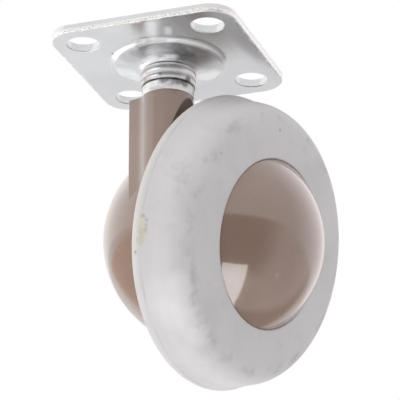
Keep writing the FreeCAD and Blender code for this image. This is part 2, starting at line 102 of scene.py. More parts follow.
@dataclass(frozen=True)
class Layout:
    """Where horn and wheel stand, with turns in degrees, and the sizes that pieces share."""

    rest_turn: float = -14.4
    axle_tilt: float = 13.9
    trail: float = 17.7
    wheel_reach: float = 15.0
    wheel_drop: float = 41.5
    pin_radius: float = 3.2
    neck_end: float = -4.5
    sleeve_radius: float = 3.9
    horn_top: float = -10.67

    def plate_axes(self) -> Axes:
        """The caster's own frame."""
        return Axes(np.zeros(3), *np.eye(3))

    def swivel_axes(self) -> Axes:
        """The plate's frame turned about the swivel axis by the rest turn t.

        Returns:
            The frame: X is (cos t, sin t, 0), Y is (-sin t, cos t, 0) and Z is up.
        """
        turn = math.radians(self.rest_turn)
        x = np.array([math.cos(turn), math.sin(turn), 0.0])
        y = np.array([-math.sin(turn), math.cos(turn), 0.0])
        return Axes(np.zeros(3), x, y, np.array([0.0, 0.0, 1.0]))

    def wheel_axes(self) -> Axes:
        """The frame on the axle, in the plane of the tyre's opening.

        Returns:
            The frame: X down across the axle, Y level and Z outwards along it.
        """
        swivel = self.swivel_axes()
        tilt = math.radians(self.axle_tilt)
        hub = swivel.place(np.array([self.wheel_reach, self.trail, -self.wheel_drop]))
        out = math.cos(tilt) * swivel.x - math.sin(tilt) * swivel.z
        down = -math.sin(tilt) * swivel.x - math.cos(tilt) * swivel.z
        return Axes(hub, down, swivel.y, out)


LAYOUT = Layout()


def paced(line: Array, sharpest: float = math.inf) -> Array:
    """Running total along a line of its length plus its turning, each as a share of the whole.

    Args:
        line: points (n, 2).
        sharpest: the most that one bend counts, in radians.

    Returns:
        The totals (n,), from 0.
    """
    legs = np.diff(line, axis=0)
    lengths = np.hypot(legs[:, 0], legs[:, 1])
    heading = np.unwrap(np.arctan2(legs[:, 1], legs[:, 0]))
    turning = np.abs(np.diff(heading, prepend=heading[0]))
    weight = lengths / lengths.sum() + np.minimum(turning, sharpest) / max(turning.sum(), TINY)
    return np.concatenate([[0.0], np.cumsum(weight)])


def quarter_round(radius: float, count: int = 7) -> tuple[Array, Array]:
    """A rounded edge between two faces: R (1 - sin q) and R (1 - cos q) for q up to a quarter turn.

    Args:
        radius: R, the edge's radius.
        count: how many points.

    Returns:
        The distances from the one face and from the other.
    """
    q = np.linspace(0.0, QUARTER_TURN, count)
    return radius * (1 - np.sin(q)), radius * (1 - np.cos(q))


@dataclass(frozen=True)
class Corner:
    """End of one stretch of a section's line.

    The stretch is straight, or an arc that turns left (+1) or right (-1).
    """

    across: float
    along: float
    radius: float = 0.0
    turn: int = 0


@dataclass(frozen=True)
class Section:
    """A line in a plane, made of straight runs and arcs, with its edges softened a little."""

    corners: tuple[Corner, ...]
    end: End
    blur: float = 0.08
    step: float = 0.04

    def dense(self) -> Array:
        """Sample the line finely.

        A straight run is (1 - t) A + t B. An arc about M is M + R (cos a, sin a) with a running
        between the directions of its two ends, where M lies on the chord's bisector.

        Returns:
            Points (n, 2) along the line; a ring doesn't repeat its first point.
        """
        spots = np.array([(corner.across, corner.along) for corner in self.corners])
        runs = []
        first = 0 if self.end is End.RING else 1
        for index in range(first, len(self.corners)):
            start, stop, corner = spots[index - 1], spots[index], self.corners[index]
            chord = stop - start
            length = float(np.hypot(*chord))
            t = np.linspace(0.0, 1.0, max(int(length / self.step), 3), endpoint=False)[:, None]
            if corner.turn == 0:
                runs.append(start + t * chord)
                continue
            side = np.array([-chord[1], chord[0]]) / length * corner.turn
            height = math.sqrt(max(corner.radius**2 - length**2 / 4, 0.0))
            middle = (start + stop) / 2 + side * height
            a, b = (math.atan2(*(point - middle)[::-1]) for point in (start, stop))
            sweep = math.remainder(b - a, FULL_TURN)
            angle = a + t * sweep
            runs.append(middle + corner.radius * np.hstack([np.cos(angle), np.sin(angle)]))
        if self.end is not End.RING:
            runs.append(spots[-1:])
        return np.concatenate(runs)

    def padded(self, points: Array, width: int) -> Array:
        """Continue the line past both ends, so that softening keeps what each end has to keep.

        Args:
            points: the fine samples.
            width: how many samples to add at each end.

        Returns:
            A ring goes round again, a line on the axis is mirrored in it, and a fixed end is
            mirrored through its last point.
        """
        if self.end is End.RING:
            return np.concatenate([points[-width:], points, points[:width]])
        head, tail = points[1:width + 1][::-1], points[-width - 1:-1][::-1]
        if self.end is End.AXIS:
            flip = np.array([-1.0, 1.0])
            return np.concatenate([head * flip, points, tail * flip])
        return np.concatenate([2 * points[0] - head, points, 2 * points[-1] - tail])

    def points(self, count: int) -> Array:
        """The softened line, sampled more closely where it bends.

        The fine samples are averaged with a bell curve of width `blur`, then read off at equal
        steps of length plus turning.

        Args:
            count: how many points to return.

        Returns:
            Points (count, 2).
        """
        fine = self.dense()
        width = min(int(BELL_REACH * self.blur / self.step) + 1, len(fine) - 2)
        offsets = np.arange(-width, width + 1) * self.step
        bell = np.exp(-0.5 * (offsets / self.blur) ** 2)
        bell /= bell.sum()
        long = self.padded(fine, width)
        soft = np.stack([np.convolve(long[:, k], bell, mode="valid") for k in (0, 1)], axis=1)
        if self.end is End.AXIS:
            soft[[0, -1], 0] = 0.0
        if self.end is End.RING:
            soft = np.concatenate([soft, soft[:1]])
        travel = paced(soft)
        wanted = np.linspace(0.0, travel[-1], count, endpoint=self.end is not End.RING)
        return np.stack([np.interp(wanted, travel, soft[:, k]) for k in (0, 1)], axis=1)


@dataclass
class Patch:
    """A grid of points (rows, columns, 3) in millimetres, with numbers that its finish reads."""

    points: Array
    wraps_columns: bool = True
    wraps_rows: bool = False
    marks: Mapping[str, Array] | None = None

    def quads(self) -> Array:
        """Number the corners of the grid's quads.

        Returns:
            The numbers (n, 4); a wrapped grid joins its last line to its first.
        """
        rows, columns = self.points.shape[:2]
        row = np.arange(rows if self.wraps_rows else rows - 1)[:, None]
        column = np.arange(columns if self.wraps_columns else columns - 1)[None, :]
        down, right = (row + 1) % rows, (column + 1) % columns
        here, below = row * columns, down * columns
        faces = [here + column, here + right, below + right, below + column]
        return np.stack(np.broadcast_arrays(*faces), axis=-1).reshape(-1, 4)


def turned(section: Array, axes: Axes, columns: int, is_ring: bool) -> Patch:
    """Turn a section about an axis.

    A section point (r, h) at an angle a goes to (r cos a, r sin a, h).

    Args:
        section: points (n, 2) as (radius, height).
        axes: the frame whose Z is the axis.
        columns: how many angles.
        is_ring: whether the section closes on itself.

    Returns:
        The grid, marked with each point's radius and height.
    """
    angle = np.arange(columns) / columns * FULL_TURN
    radius, height = section[:, :1], np.repeat(section[:, 1:], columns, axis=1)
    local = np.stack([radius * np.cos(angle), radius * np.sin(angle), height], axis=-1)
    marks = {"radius": np.repeat(radius, columns, axis=1), "height": height}
    return Patch(axes.place(local), wraps_rows=is_ring, marks=marks)


def slab(loop: Array, half_thick: float, axes: Axes) -> Patch:
    """A flat slab: an outline in the frame's XZ plane, carried from -t to +t along Y.

    Args:
        loop: outline points (n, 2) as (x, z).
        half_thick: t, half of the slab's thickness.
        axes: the slab's frame.

    Returns:
        A closed grid of four lines: middle point, outline at -t, outline at +t, middle point.
    """
    middle = np.repeat(loop.mean(axis=0, keepdims=True), len(loop), axis=0)
    lines = [(middle, -half_thick), (loop, -half_thick), (loop, half_thick), (middle, half_thick)]
    local = np.stack([np.insert(line, 1, offset, axis=1) for line, offset in lines])
    return Patch(axes.place(local))


def ribs(loop: Array, half_thick: float, axes: Axes, count: int) -> list[Patch]:
    """Slabs of one outline, evenly round the frame's Z.

    Args:
        loop: outline points (n, 2) as (distance from Z, height).
        half_thick: half of a slab's thickness.
        axes: the frame; the first slab lies along its X.
        count: how many slabs.

    Returns:
        The slabs' grids.
    """
    patches = []
    for turn in np.arange(count) / count * FULL_TURN:
        x = math.cos(turn) * axes.x + math.sin(turn) * axes.y
        y = math.cos(turn) * axes.y - math.sin(turn) * axes.x
        patches.append(slab(loop, half_thick, Axes(axes.origin, x, y, axes.z)))
    return patches


def solid(name: str, patches: Sequence[Patch], crease_deg: float = 35.0) -> bpy.types.Object:
    """Make one mesh object from grids, weld their seams and poles, and shade it smooth.

    Args:
        name: the piece's name.
        patches: the grids.
        crease_deg: edges that bend more than this stay sharp.

    Returns:
        The object, at the origin, with its place in its mesh.
    """
    starts = np.cumsum([0] + [patch.points[..., 0].size for patch in patches[:-1]])
    points = np.concatenate([patch.points.reshape(-1, 3) for patch in patches]) * MM
    faces = np.concatenate([patch.quads() + start for patch, start in zip(patches, starts)])
    mesh = bpy.data.meshes.new(name)
    mesh.from_pydata(points, [], faces)
    labels = sorted({label for patch in patches for label in patch.marks or {}})
    for label in labels:
        numbers = [
            (patch.marks or {}).get(label, np.zeros(patch.points.shape[:2])).ravel()
            for patch in patches
        ]
        layer = mesh.attributes.new(label, "FLOAT", "POINT")
        layer.data.foreach_set("value", np.concatenate(numbers).astype(np.float32))
    work = bmesh.new()
    work.from_mesh(mesh)
    bmesh.ops.remove_doubles(work, verts=work.verts, dist=MERGE_DISTANCE)
    bmesh.ops.recalc_face_normals(work, faces=work.faces)
    work.to_mesh(mesh)
    work.free()
    mesh.shade_smooth()
    mesh.set_sharp_from_angle(angle=math.radians(crease_deg))
    piece = bpy.data.objects.new(name, mesh)
    bpy.context.scene.collection.objects.link(piece)
    return piece


class Value:
    """A number that varies over a surface: a shader socket that Python's operators combine."""

    def __init__(self, tree: bpy.types.NodeTree, socket: bpy.types.NodeSocket) -> None:
        """Keep the node tree and the socket."""
        self.tree = tree
        self.socket = socket

    def maths(self, operation: str, *terms: "Value | float") -> "Value":
        """Add a Math node.

        Args:
            operation: the node's operation.
            terms: its inputs, in order.

        Returns:
            The node's result.
        """
        node = self.tree.nodes.new("ShaderNodeMath")
        node.operation = operation
        for socket, term in zip(node.inputs, terms):
            if isinstance(term, Value):
                self.tree.links.new(term.socket, socket)
            else:
                socket.default_value = term
        return Value(self.tree, node.outputs[0])

    def __add__(self, other: "Value | float") -> "Value":
        """self + other."""
        return self.maths("ADD", self, other)

    def __radd__(self, other: float) -> "Value":
        """other + self."""
        return self.maths("ADD", other, self)

    def __sub__(self, other: "Value | float") -> "Value":
        """self - other."""
        return self.maths("SUBTRACT", self, other)

    def __rsub__(self, other: float) -> "Value":
        """other - self."""
        return self.maths("SUBTRACT", other, self)

    def __mul__(self, other: "Value | float") -> "Value":
        """self times other."""
        return self.maths("MULTIPLY", self, other)

    def __rmul__(self, other: float) -> "Value":
        """other times self."""
        return self.maths("MULTIPLY", other, self)

    def __abs__(self) -> "Value":
        """The size of self."""
        return self.maths("ABSOLUTE", self)

    def larger(self, other: "Value | float") -> "Value":
        """The larger of the two."""
        return self.maths("MAXIMUM", self, other)


class Graph:
    """A node tree that is filled node by node."""

    def __init__(self, tree: bpy.types.NodeTree) -> None:
        """Start from an empty tree."""
        self.tree = tree
        self.tree.nodes.clear()

    def node(
        self,
        kind: str,
        settings: Mapping[str, object] | None = None,
        inputs: Mapping[str | int, object] | None = None,
    ) -> bpy.types.Node:
        """Add a node.

        Args:
            kind: the node's type.
            settings: its properties, set first.
            inputs: values or links of its sockets, by name or number.

        Returns:
            The node.
        """
        made = self.tree.nodes.new(kind)
        for label, setting in (settings or {}).items():
            setattr(made, label, setting)
        for key, given in (inputs or {}).items():
            source = given.socket if isinstance(given, Value) else given
            if isinstance(source, bpy.types.NodeSocket):
                self.tree.links.new(source, made.inputs[key])
            else:
                made.inputs[key].default_value = source
        return made

    def value(self, socket: bpy.types.NodeSocket) -> Value:
        """Wrap a socket for arithmetic."""
        return Value(self.tree, socket)

    def ease(self, value: Value, low: float, high: float) -> Value:
        """Smooth step between two bounds.

        Args:
            value: what is eased.
            low: where the step is 0; it may be the larger bound.
            high: where it is 1.

        Returns:
            The step: 3 s^2 - 2 s^3 for the share s of the way.
        """
        span = {"Value": value, "From Min": low, "From Max": high}
        node = self.node("ShaderNodeMapRange", {"interpolation_type": "SMOOTHSTEP"}, span)
        return self.value(node.outputs[0])

    def tint(self, amount: Value, plain: object, tinted: object) -> bpy.types.NodeSocket:
        """Mix two colours.

        Args:
            amount: 0 gives the plain colour and 1 the tinted one.
            plain: a colour or a colour socket.
            tinted: a colour or a colour socket.

        Returns:
            The mixed colour.
        """
        given = {0: amount}
        for key, colour in ((6, plain), (7, tinted)):
            given[key] = (*colour, 1.0) if isinstance(colour, tuple) else colour
        return self.node("ShaderNodeMix", {"data_type": "RGBA"}, given).outputs[2]


@dataclass(frozen=True)
class StainOrPaintedLight:
    """A coloured mark at a place on a surface, in millimetres: dirt or wear, or painted light where
    its table says so; grit 1 breaks it up into grains.
    """

    centre: Point
    radius: float
    colour: Colour
    strength: float
    grit: float = 0.0


class Recipe(Graph):
    """The node tree of one material, with the patterns that the finishes are mixed from."""

    NOISE_ROUGHNESS = 0.55
    SPOT_EDGE = 1.15
    SPOT_CORE = 0.35

    def __init__(self, name: str) -> None:
        """Start an empty material.

        Args:
            name: the material's name.
        """
        self.material = bpy.data.materials.new(name)
        self.material.use_nodes = True
        super().__init__(self.material.node_tree)
        self.place = self.node("ShaderNodeTexCoord").outputs["Object"]

    def noise(
        self,
        per_metre: float,
        detail: float = 2.0,
        stretch: Point = (1.0, 1.0, 1.0),
    ) -> Value:
        """Cloudy noise from 0 to 1.

        Args:
            per_metre: how many clouds fit in a metre.
            detail: how many finer layers it has.
            stretch: how much closer the clouds stand along X, Y and Z.

        Returns:
            The noise.
        """
        mapped = self.node("ShaderNodeMapping", None, {"Vector": self.place, "Scale": stretch})
        node = self.node("ShaderNodeTexNoise", None, {
            "Vector": mapped.outputs[0],
            "Scale": per_metre,
            "Detail": detail,
            "Roughness": self.NOISE_ROUGHNESS,
        })
        return self.value(node.outputs[0])

    def mark(self, label: str) -> Value:
        """A number that the mesh stores at each point."""
        node = self.node("ShaderNodeAttribute", {"attribute_name": label})
        return self.value(node.outputs["Fac"])

    def part(self, axis: int) -> Value:
        """One coordinate of the surface point, in metres: 0 for X, 1 for Y, 2 for Z."""
        return self.value(self.node("ShaderNodeSeparateXYZ", None, {0: self.place}).outputs[axis])

    def spot(self, centre: Point, radius: float, ragged: Value | float = 0.5) -> Value:
        """A round mark.

        Args:
            centre: its centre on the surface, in millimetres.
            radius: its radius in millimetres.
            ragged: noise from 0 to 1 that frays its edge.

        Returns:
            1 in the middle, easing to 0 at the edge.
        """
        target = tuple(number * MM for number in centre)
        ends = {0: self.place, 1: target}
        node = self.node("ShaderNodeVectorMath", {"operation": "DISTANCE"}, ends)
        reach = radius * MM
        distance = self.value(node.outputs["Value"]) + (ragged - 0.5) * reach
        return self.ease(distance, reach * self.SPOT_EDGE, reach * self.SPOT_CORE)

    def lay_stains_and_painted_light(
        self,
        colour: bpy.types.NodeSocket,
        stains_and_painted_light: Sequence[StainOrPaintedLight],
        ragged: Value | float = 0.5,
        bare: Value | float = 0.0,
    ) -> bpy.types.NodeSocket:
        """Lay marks of dirt and wear, and spots of painted light, over a colour, one after another.

        Args:
            colour: the colour below them.
            stains_and_painted_light: the marks.
            ragged: noise from 0 to 1 that frays their edges.
            bare: where the grains of a gritty mark are missing.

        Returns:
            The marked colour.
        """
        for laid_mark in stains_and_painted_light:
            cover = self.spot(laid_mark.centre, laid_mark.radius, ragged) * laid_mark.strength
            if laid_mark.grit:
                cover = cover * (1.0 - bare * laid_mark.grit)
            colour = self.tint(cover, colour, laid_mark.colour)
        return colour

    def band(self, height: float, reach: float) -> Value:
        """1 at a height and easing to 0 at the reach above and below it, both in millimetres."""
        return self.ease(abs(self.part(2) - height * MM), reach * MM, 0.0)

    def relief(self, height: Value, depth: float) -> bpy.types.NodeSocket:
        """Bump of a height from 0 to 1 that is `depth` millimetres deep."""
        sockets = {"Height": height, "Distance": depth * MM, "Strength": 1.0}
        return self.node("ShaderNodeBump", None, sockets).outputs[0]

    def finish(self, **sockets: object) -> bpy.types.Material:
        """Close the recipe with one surface shader.

        Args:
            sockets: the shader's inputs, with _ for the spaces in their names.

        Returns:
            The material.
        """
        given = {}
        for label, setting in sockets.items():
            is_colour = isinstance(setting, tuple) and len(setting) == 3
            given[label.replace("_", " ")] = (*setting, 1.0) if is_colour else setting
        shader = self.node("ShaderNodeBsdfPrincipled", None, given)
        self.node("ShaderNodeOutputMaterial", None, {"Surface": shader.outputs[0]})
        return self.material


# White of the painted highlights.
PAINTED_HIGHLIGHT_WHITE: Colour = (0.95, 0.955, 0.97)


def painted_highlight_streak(
    start: Point,
    end: Point,
    count: int,
    radius: float,
    strength: float,
) -> tuple[StainOrPaintedLight, ...]:
    """A pale line of painted highlight: a row of overlapping spots.

    Args:
        start: the first spot's centre in millimetres.
        end: the last spot's centre.
        count: how many spots.
        radius: each spot's radius in millimetres.
        strength: each spot's strength.

    Returns:
        The spots.
    """
    centres = np.linspace(start, end, count).tolist()
    return tuple(StainOrPaintedLight(tuple(centre), radius, PAINTED_HIGHLIGHT_WHITE, strength) for centre in centres)


@dataclass(frozen=True)
class Enamel:
    """Glossy brown-grey stoving enamel on a die casting, with a fine orange-peel skin and painted
    shade on the horn's facet behind the tyre.
    """

    colour: Colour = (0.25, 0.164, 0.127)
    deep: Colour = (0.23, 0.149, 0.114)
    painted_facet_shade: Colour = (0.1, 0.066, 0.052)
    dusty: Colour = (0.5, 0.45, 0.42)
    stains_and_painted_light: tuple[StainOrPaintedLight, ...] = ()

    def material(self, name: str) -> bpy.types.Material:
        """Mix the enamel.

        Args:
            name: the material's name.

        Returns:
            The material.
        """
        mix = Recipe(name)
        cloud = mix.noise(70.0, 3.0)
        grain = mix.noise(900.0, 2.0)
        dust = mix.ease(mix.noise(2600.0, 1.0), 0.7, 0.8)
        colour = mix.tint(mix.ease(cloud, 0.35, 0.65), self.deep, self.colour)
        colour = mix.lay_stains_and_painted_light(colour, self.stains_and_painted_light, mix.noise(1400.0, 3.0))
        colour = mix.tint(dust * 0.1, colour, self.dusty)
        # Painted shade: the horn's facet close behind the tyre is darkened in place of the shade
        # there.
        colour = mix.tint(mix.mark("facet") * 0.6, colour, self.painted_facet_shade)
        roughness = 0.13 + 0.08 * mix.ease(mix.noise(160.0, 3.0), 0.4, 0.75) + 0.25 * dust
        return mix.finish(
            Base_Color=colour,
            Roughness=roughness,
            IOR=1.58,
            Coat_Weight=0.75 + 0.25 * cloud,
            Coat_Roughness=0.04,
            Coat_IOR=1.62,
            Normal=mix.relief(grain, 0.012),
        )


@dataclass(frozen=True)
class Zinc:
    """Bright zinc plating on a pressing: faintly drawn, pitted, shear-cut at the side, with painted
    highlights and painted reflections.
    """

    colour: Colour = (0.69, 0.695, 0.71)
    grey: Colour = (0.575, 0.58, 0.595)
    pit: Colour = (0.16, 0.15, 0.145)
    sheared_with_painted_highlight: Colour = (0.92, 0.915, 0.905)
    torn: Colour = (0.56, 0.55, 0.535)
    smudge: Colour = (0.33, 0.33, 0.34)
    shear_from: float = -0.85
    shear_to: float = -1.15
    boss_from: float = -1.9
    boss_to: float = -2.5
    bright_share: float = 0.8
    stains_and_painted_light: tuple[StainOrPaintedLight, ...] = ()
    painted_highlights: tuple[StainOrPaintedLight, ...] = ()

    def material(self, name: str) -> bpy.types.Material:
        """Mix the plating.

        Args:
            name: the material's name.

        Returns:
            The material.
        """
        mix = Recipe(name)
        cloud = mix.noise(55.0, 4.0)
        drawn = mix.noise(260.0, 3.0, (1.0, 9.0, 1.0))
        speck = mix.ease(mix.noise(1500.0, 3.0), 0.7, 0.78)
        crumb = mix.ease(mix.noise(2900.0, 3.0), 0.5, 0.64)
        ragged = mix.part(2) + (mix.noise(420.0, 3.0) - 0.5) * (0.5 * MM)
        broken = mix.mark("side") * mix.ease(ragged, self.shear_from * MM, self.shear_to * MM)
        boss = mix.ease(mix.mark("height"), self.boss_from, self.boss_to)
        colour = mix.tint(mix.ease(cloud, 0.35, 0.7) * 0.5, self.colour, self.grey)
        # Darker patchy colour over the drawn boss.
        boss_darkening = boss * mix.ease(mix.noise(230.0, 4.0), 0.5, 0.7) * 0.25
        colour = mix.tint(boss_darkening, colour, self.smudge)
        # On the plate these spots are painted reflections: grey ones are painted dark reflections
        # and white ones painted highlights.
        colour = mix.lay_stains_and_painted_light(colour, self.stains_and_painted_light, mix.noise(600.0, 4.0))
        # Painted highlights: pale spots that also lower Metallic, in place of bright things
        # mirrored in boss and plate.
        painted_highlight_cover: Value | float = 0.0
        for highlight in self.painted_highlights:
            cover = mix.spot(highlight.centre, highlight.radius) * highlight.strength
            colour = mix.tint(cover, colour, highlight.colour)
            painted_highlight_cover = cover + painted_highlight_cover
        colour = mix.tint(speck * 0.3, colour, self.pit)
        # The broken edge of the side is painted near white: partly its own bare metal, partly a
        # painted highlight.
        colour = mix.tint(broken, colour, mix.tint(crumb, self.sheared_with_painted_highlight, self.torn))
        roughness = 0.14 + 0.08 * cloud + 0.05 * drawn + 0.2 * speck + 0.25 * broken + 0.05 * boss
        height = drawn * 0.2 + cloud * 0.8 + broken * crumb
        return mix.finish(
            Base_Color=colour,
            Metallic=self.bright_share * (1.0 - painted_highlight_cover),
            Roughness=roughness,
            Normal=mix.relief(height, 0.012),
        )


@dataclass(frozen=True)
class TurnedSteel:
    """Turned steel with fine tool rings round the swivel axis and dark grease in its seams.

    Seams are pairs of a height and a depth of grease; bands of painted dark reflection and of
    painted highlight are pairs of a height and a reach. A painted highlight band is white and less
    metallic.
    """

    colour: Colour = (0.87, 0.87, 0.885)
    grease: Colour = (0.09, 0.085, 0.08)
    painted_dark_reflection: Colour = (0.42, 0.41, 0.41)
    painted_highlight_band_white: Colour = (0.95, 0.95, 0.96)
    seams: tuple[Span, ...] = ()
    painted_dark_reflection_bands: tuple[Span, ...] = ()
    painted_highlight_bands: tuple[Span, ...] = ()
    seam_width: float = 0.16
    bright_share: float = 0.62
    stains_and_painted_light: tuple[StainOrPaintedLight, ...] = ()

    def material(self, name: str) -> bpy.types.Material:
        """Mix the steel.

        Args:
            name: the material's name.

        Returns:
            The material.
        """
        mix = Recipe(name)
        cloud = mix.noise(420.0, 3.0)
        smear = mix.ease(mix.noise(420.0, 3.0, (1.0, 1.0, 2.6)), 0.5, 0.66)
        rings = mix.noise(900.0, 2.0, (0.02, 0.02, 6.0))
        colour = mix.tint(smear * 0.25, self.colour, self.grease)
        # Painted dark reflections: darker bands on the collar's beads.
        for height, reach in self.painted_dark_reflection_bands:
            colour = mix.tint(mix.band(height, reach) * (0.7 + 0.3 * cloud), colour, self.painted_dark_reflection)
        painted_highlight_cover: Value | float = 0.0
        # Painted highlights: white bands that also lower Metallic.
        for height, reach in self.painted_highlight_bands:
            cover = mix.band(height, reach)
            colour = mix.tint(cover, colour, self.painted_highlight_band_white)
            painted_highlight_cover = cover + painted_highlight_cover
        for seam, depth in self.seams:
            near = mix.band(seam, self.seam_width)
            colour = mix.tint(near * depth * (0.4 + 0.6 * smear), colour, self.grease)
        # On collar and bush these spots are painted dark reflections and painted shade.
        colour = mix.lay_stains_and_painted_light(colour, self.stains_and_painted_light, mix.noise(1500.0, 3.0))
        return mix.finish(
            Base_Color=colour,
            Metallic=self.bright_share * (1.0 - painted_highlight_cover),
            Roughness=0.2 + 0.12 * cloud,
            Normal=mix.relief(rings, 0.008),
        )


@dataclass(frozen=True)
class PlainMetal:
    """A plain bearing metal with a light haze, for the pins, rings, washer, ball and wheel bush."""

    colour: Colour
    haze: Colour
    roughness: float = 0.3

    def material(self, name: str) -> bpy.types.Material:
        """Mix the metal.

        Args:
            name: the material's name.

        Returns:
            The material.
        """
        mix = Recipe(name)
        cloud = mix.noise(300.0, 3.0)
        brushed = mix.noise(1100.0, 2.0, (1.0, 1.0, 0.08))
        colour = mix.tint(mix.ease(cloud, 0.35, 0.75) * 0.5, self.colour, self.haze)
        colour = mix.tint(mix.ease(brushed, 0.45, 0.65) * 0.5, colour, self.haze)
        return mix.finish(
            Base_Color=colour,
            Metallic=1.0,
            Roughness=self.roughness + 0.12 * brushed,
            Normal=mix.relief(brushed, 0.012),
        )


@dataclass(frozen=True)
class Rubber:
    """Pale grey moulded rubber, matte, smudged by handling, with dirt in the shoulder's crease and
    pale patches of painted light on the lower tread.
    """

    colour: Colour = (0.63, 0.609, 0.619)
    smudge: Colour = (0.49, 0.468, 0.462)
    dirt: Colour = (0.33, 0.31, 0.29)
    aged: Colour = (0.7, 0.65, 0.58)
    crease_radius: float = 27.2
    crease_width: float = 1.6
    aged_from: float = -10.6
    aged_to: float = -12.0
    aged_low: float = -60.0
    aged_high: float = -48.0
    stains_and_painted_light: tuple[StainOrPaintedLight, ...] = ()
    pale: tuple[StainOrPaintedLight, ...] = ()

    def material(self, name: str) -> bpy.types.Material:
        """Mix the rubber.

        Args:
            name: the material's name.

        Returns:
            The material.
        """
        mix = Recipe(name)
        cloud = mix.noise(75.0, 4.0)
        rub = mix.noise(240.0, 5.0)
        grain = mix.noise(3200.0, 2.0)
        speck = mix.ease(mix.noise(1300.0, 2.0), 0.74, 0.8)
        colour = mix.tint(mix.ease(cloud, 0.42, 0.75) * 0.35, self.colour, self.smudge)
        colour = mix.tint(mix.ease(rub, 0.55, 0.78) * 0.35, colour, self.smudge)
        upper = mix.ease(mix.part(2), self.aged_low * MM, self.aged_high * MM)
        old = mix.ease(mix.mark("height"), self.aged_from, self.aged_to) * upper
        # Painted light: pale patches on the lower tread.
        colour = mix.lay_stains_and_painted_light(colour, self.pale)
        colour = mix.tint(old * 0.4, colour, self.aged)
        line = mix.ease(abs(mix.mark("height") - self.aged_from), 0.3, 0.05)
        colour = mix.tint(line * mix.ease(cloud, 0.35, 0.6) * 0.3, colour, self.dirt)
        near = mix.ease(abs(mix.mark("radius") - self.crease_radius), self.crease_width, 0.2)
        colour = mix.tint(near * mix.ease(rub, 0.46, 0.68) * 0.35, colour, self.dirt)
        fray = mix.ease(mix.noise(520.0, 5.0), 0.25, 0.75)
        bare = mix.ease(mix.noise(1000.0, 4.0), 0.62, 0.38)
        colour = mix.lay_stains_and_painted_light(colour, self.stains_and_painted_light, fray, bare)
        colour = mix.tint(speck * 0.3, colour, self.dirt)
        return mix.finish(
            Base_Color=colour,
            Roughness=0.5 + 0.15 * cloud,
            Specular_IOR_Level=0.4,
            Normal=mix.relief(grain * 0.5 + rub * 0.5, 0.03),
        )


def dress(piece: bpy.types.Object, material: bpy.types.Material) -> None:
    """Give a piece one material in place of what it has."""
    piece.data.materials.clear()
    piece.data.materials.append(material)


def seat(
    piece: bpy.types.Object,
    material: bpy.types.Material,
    body: Body,
    node: str,
) -> None:
    """Dress a piece, let it stand for a CAD node and move with its body.

    Args:
        piece: the new piece.
        material: its material.
        body: the body it rides on.
        node: the CAD node that it stands for.
    """
    dress(piece, material)
    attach(piece, body.value)
    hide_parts(node)
    triangles = sum(len(polygon.vertices) - 2 for polygon in piece.data.polygons)
    log.info("%s stands for %s on %s, %d triangles", piece.name, node, body.value, triangles)


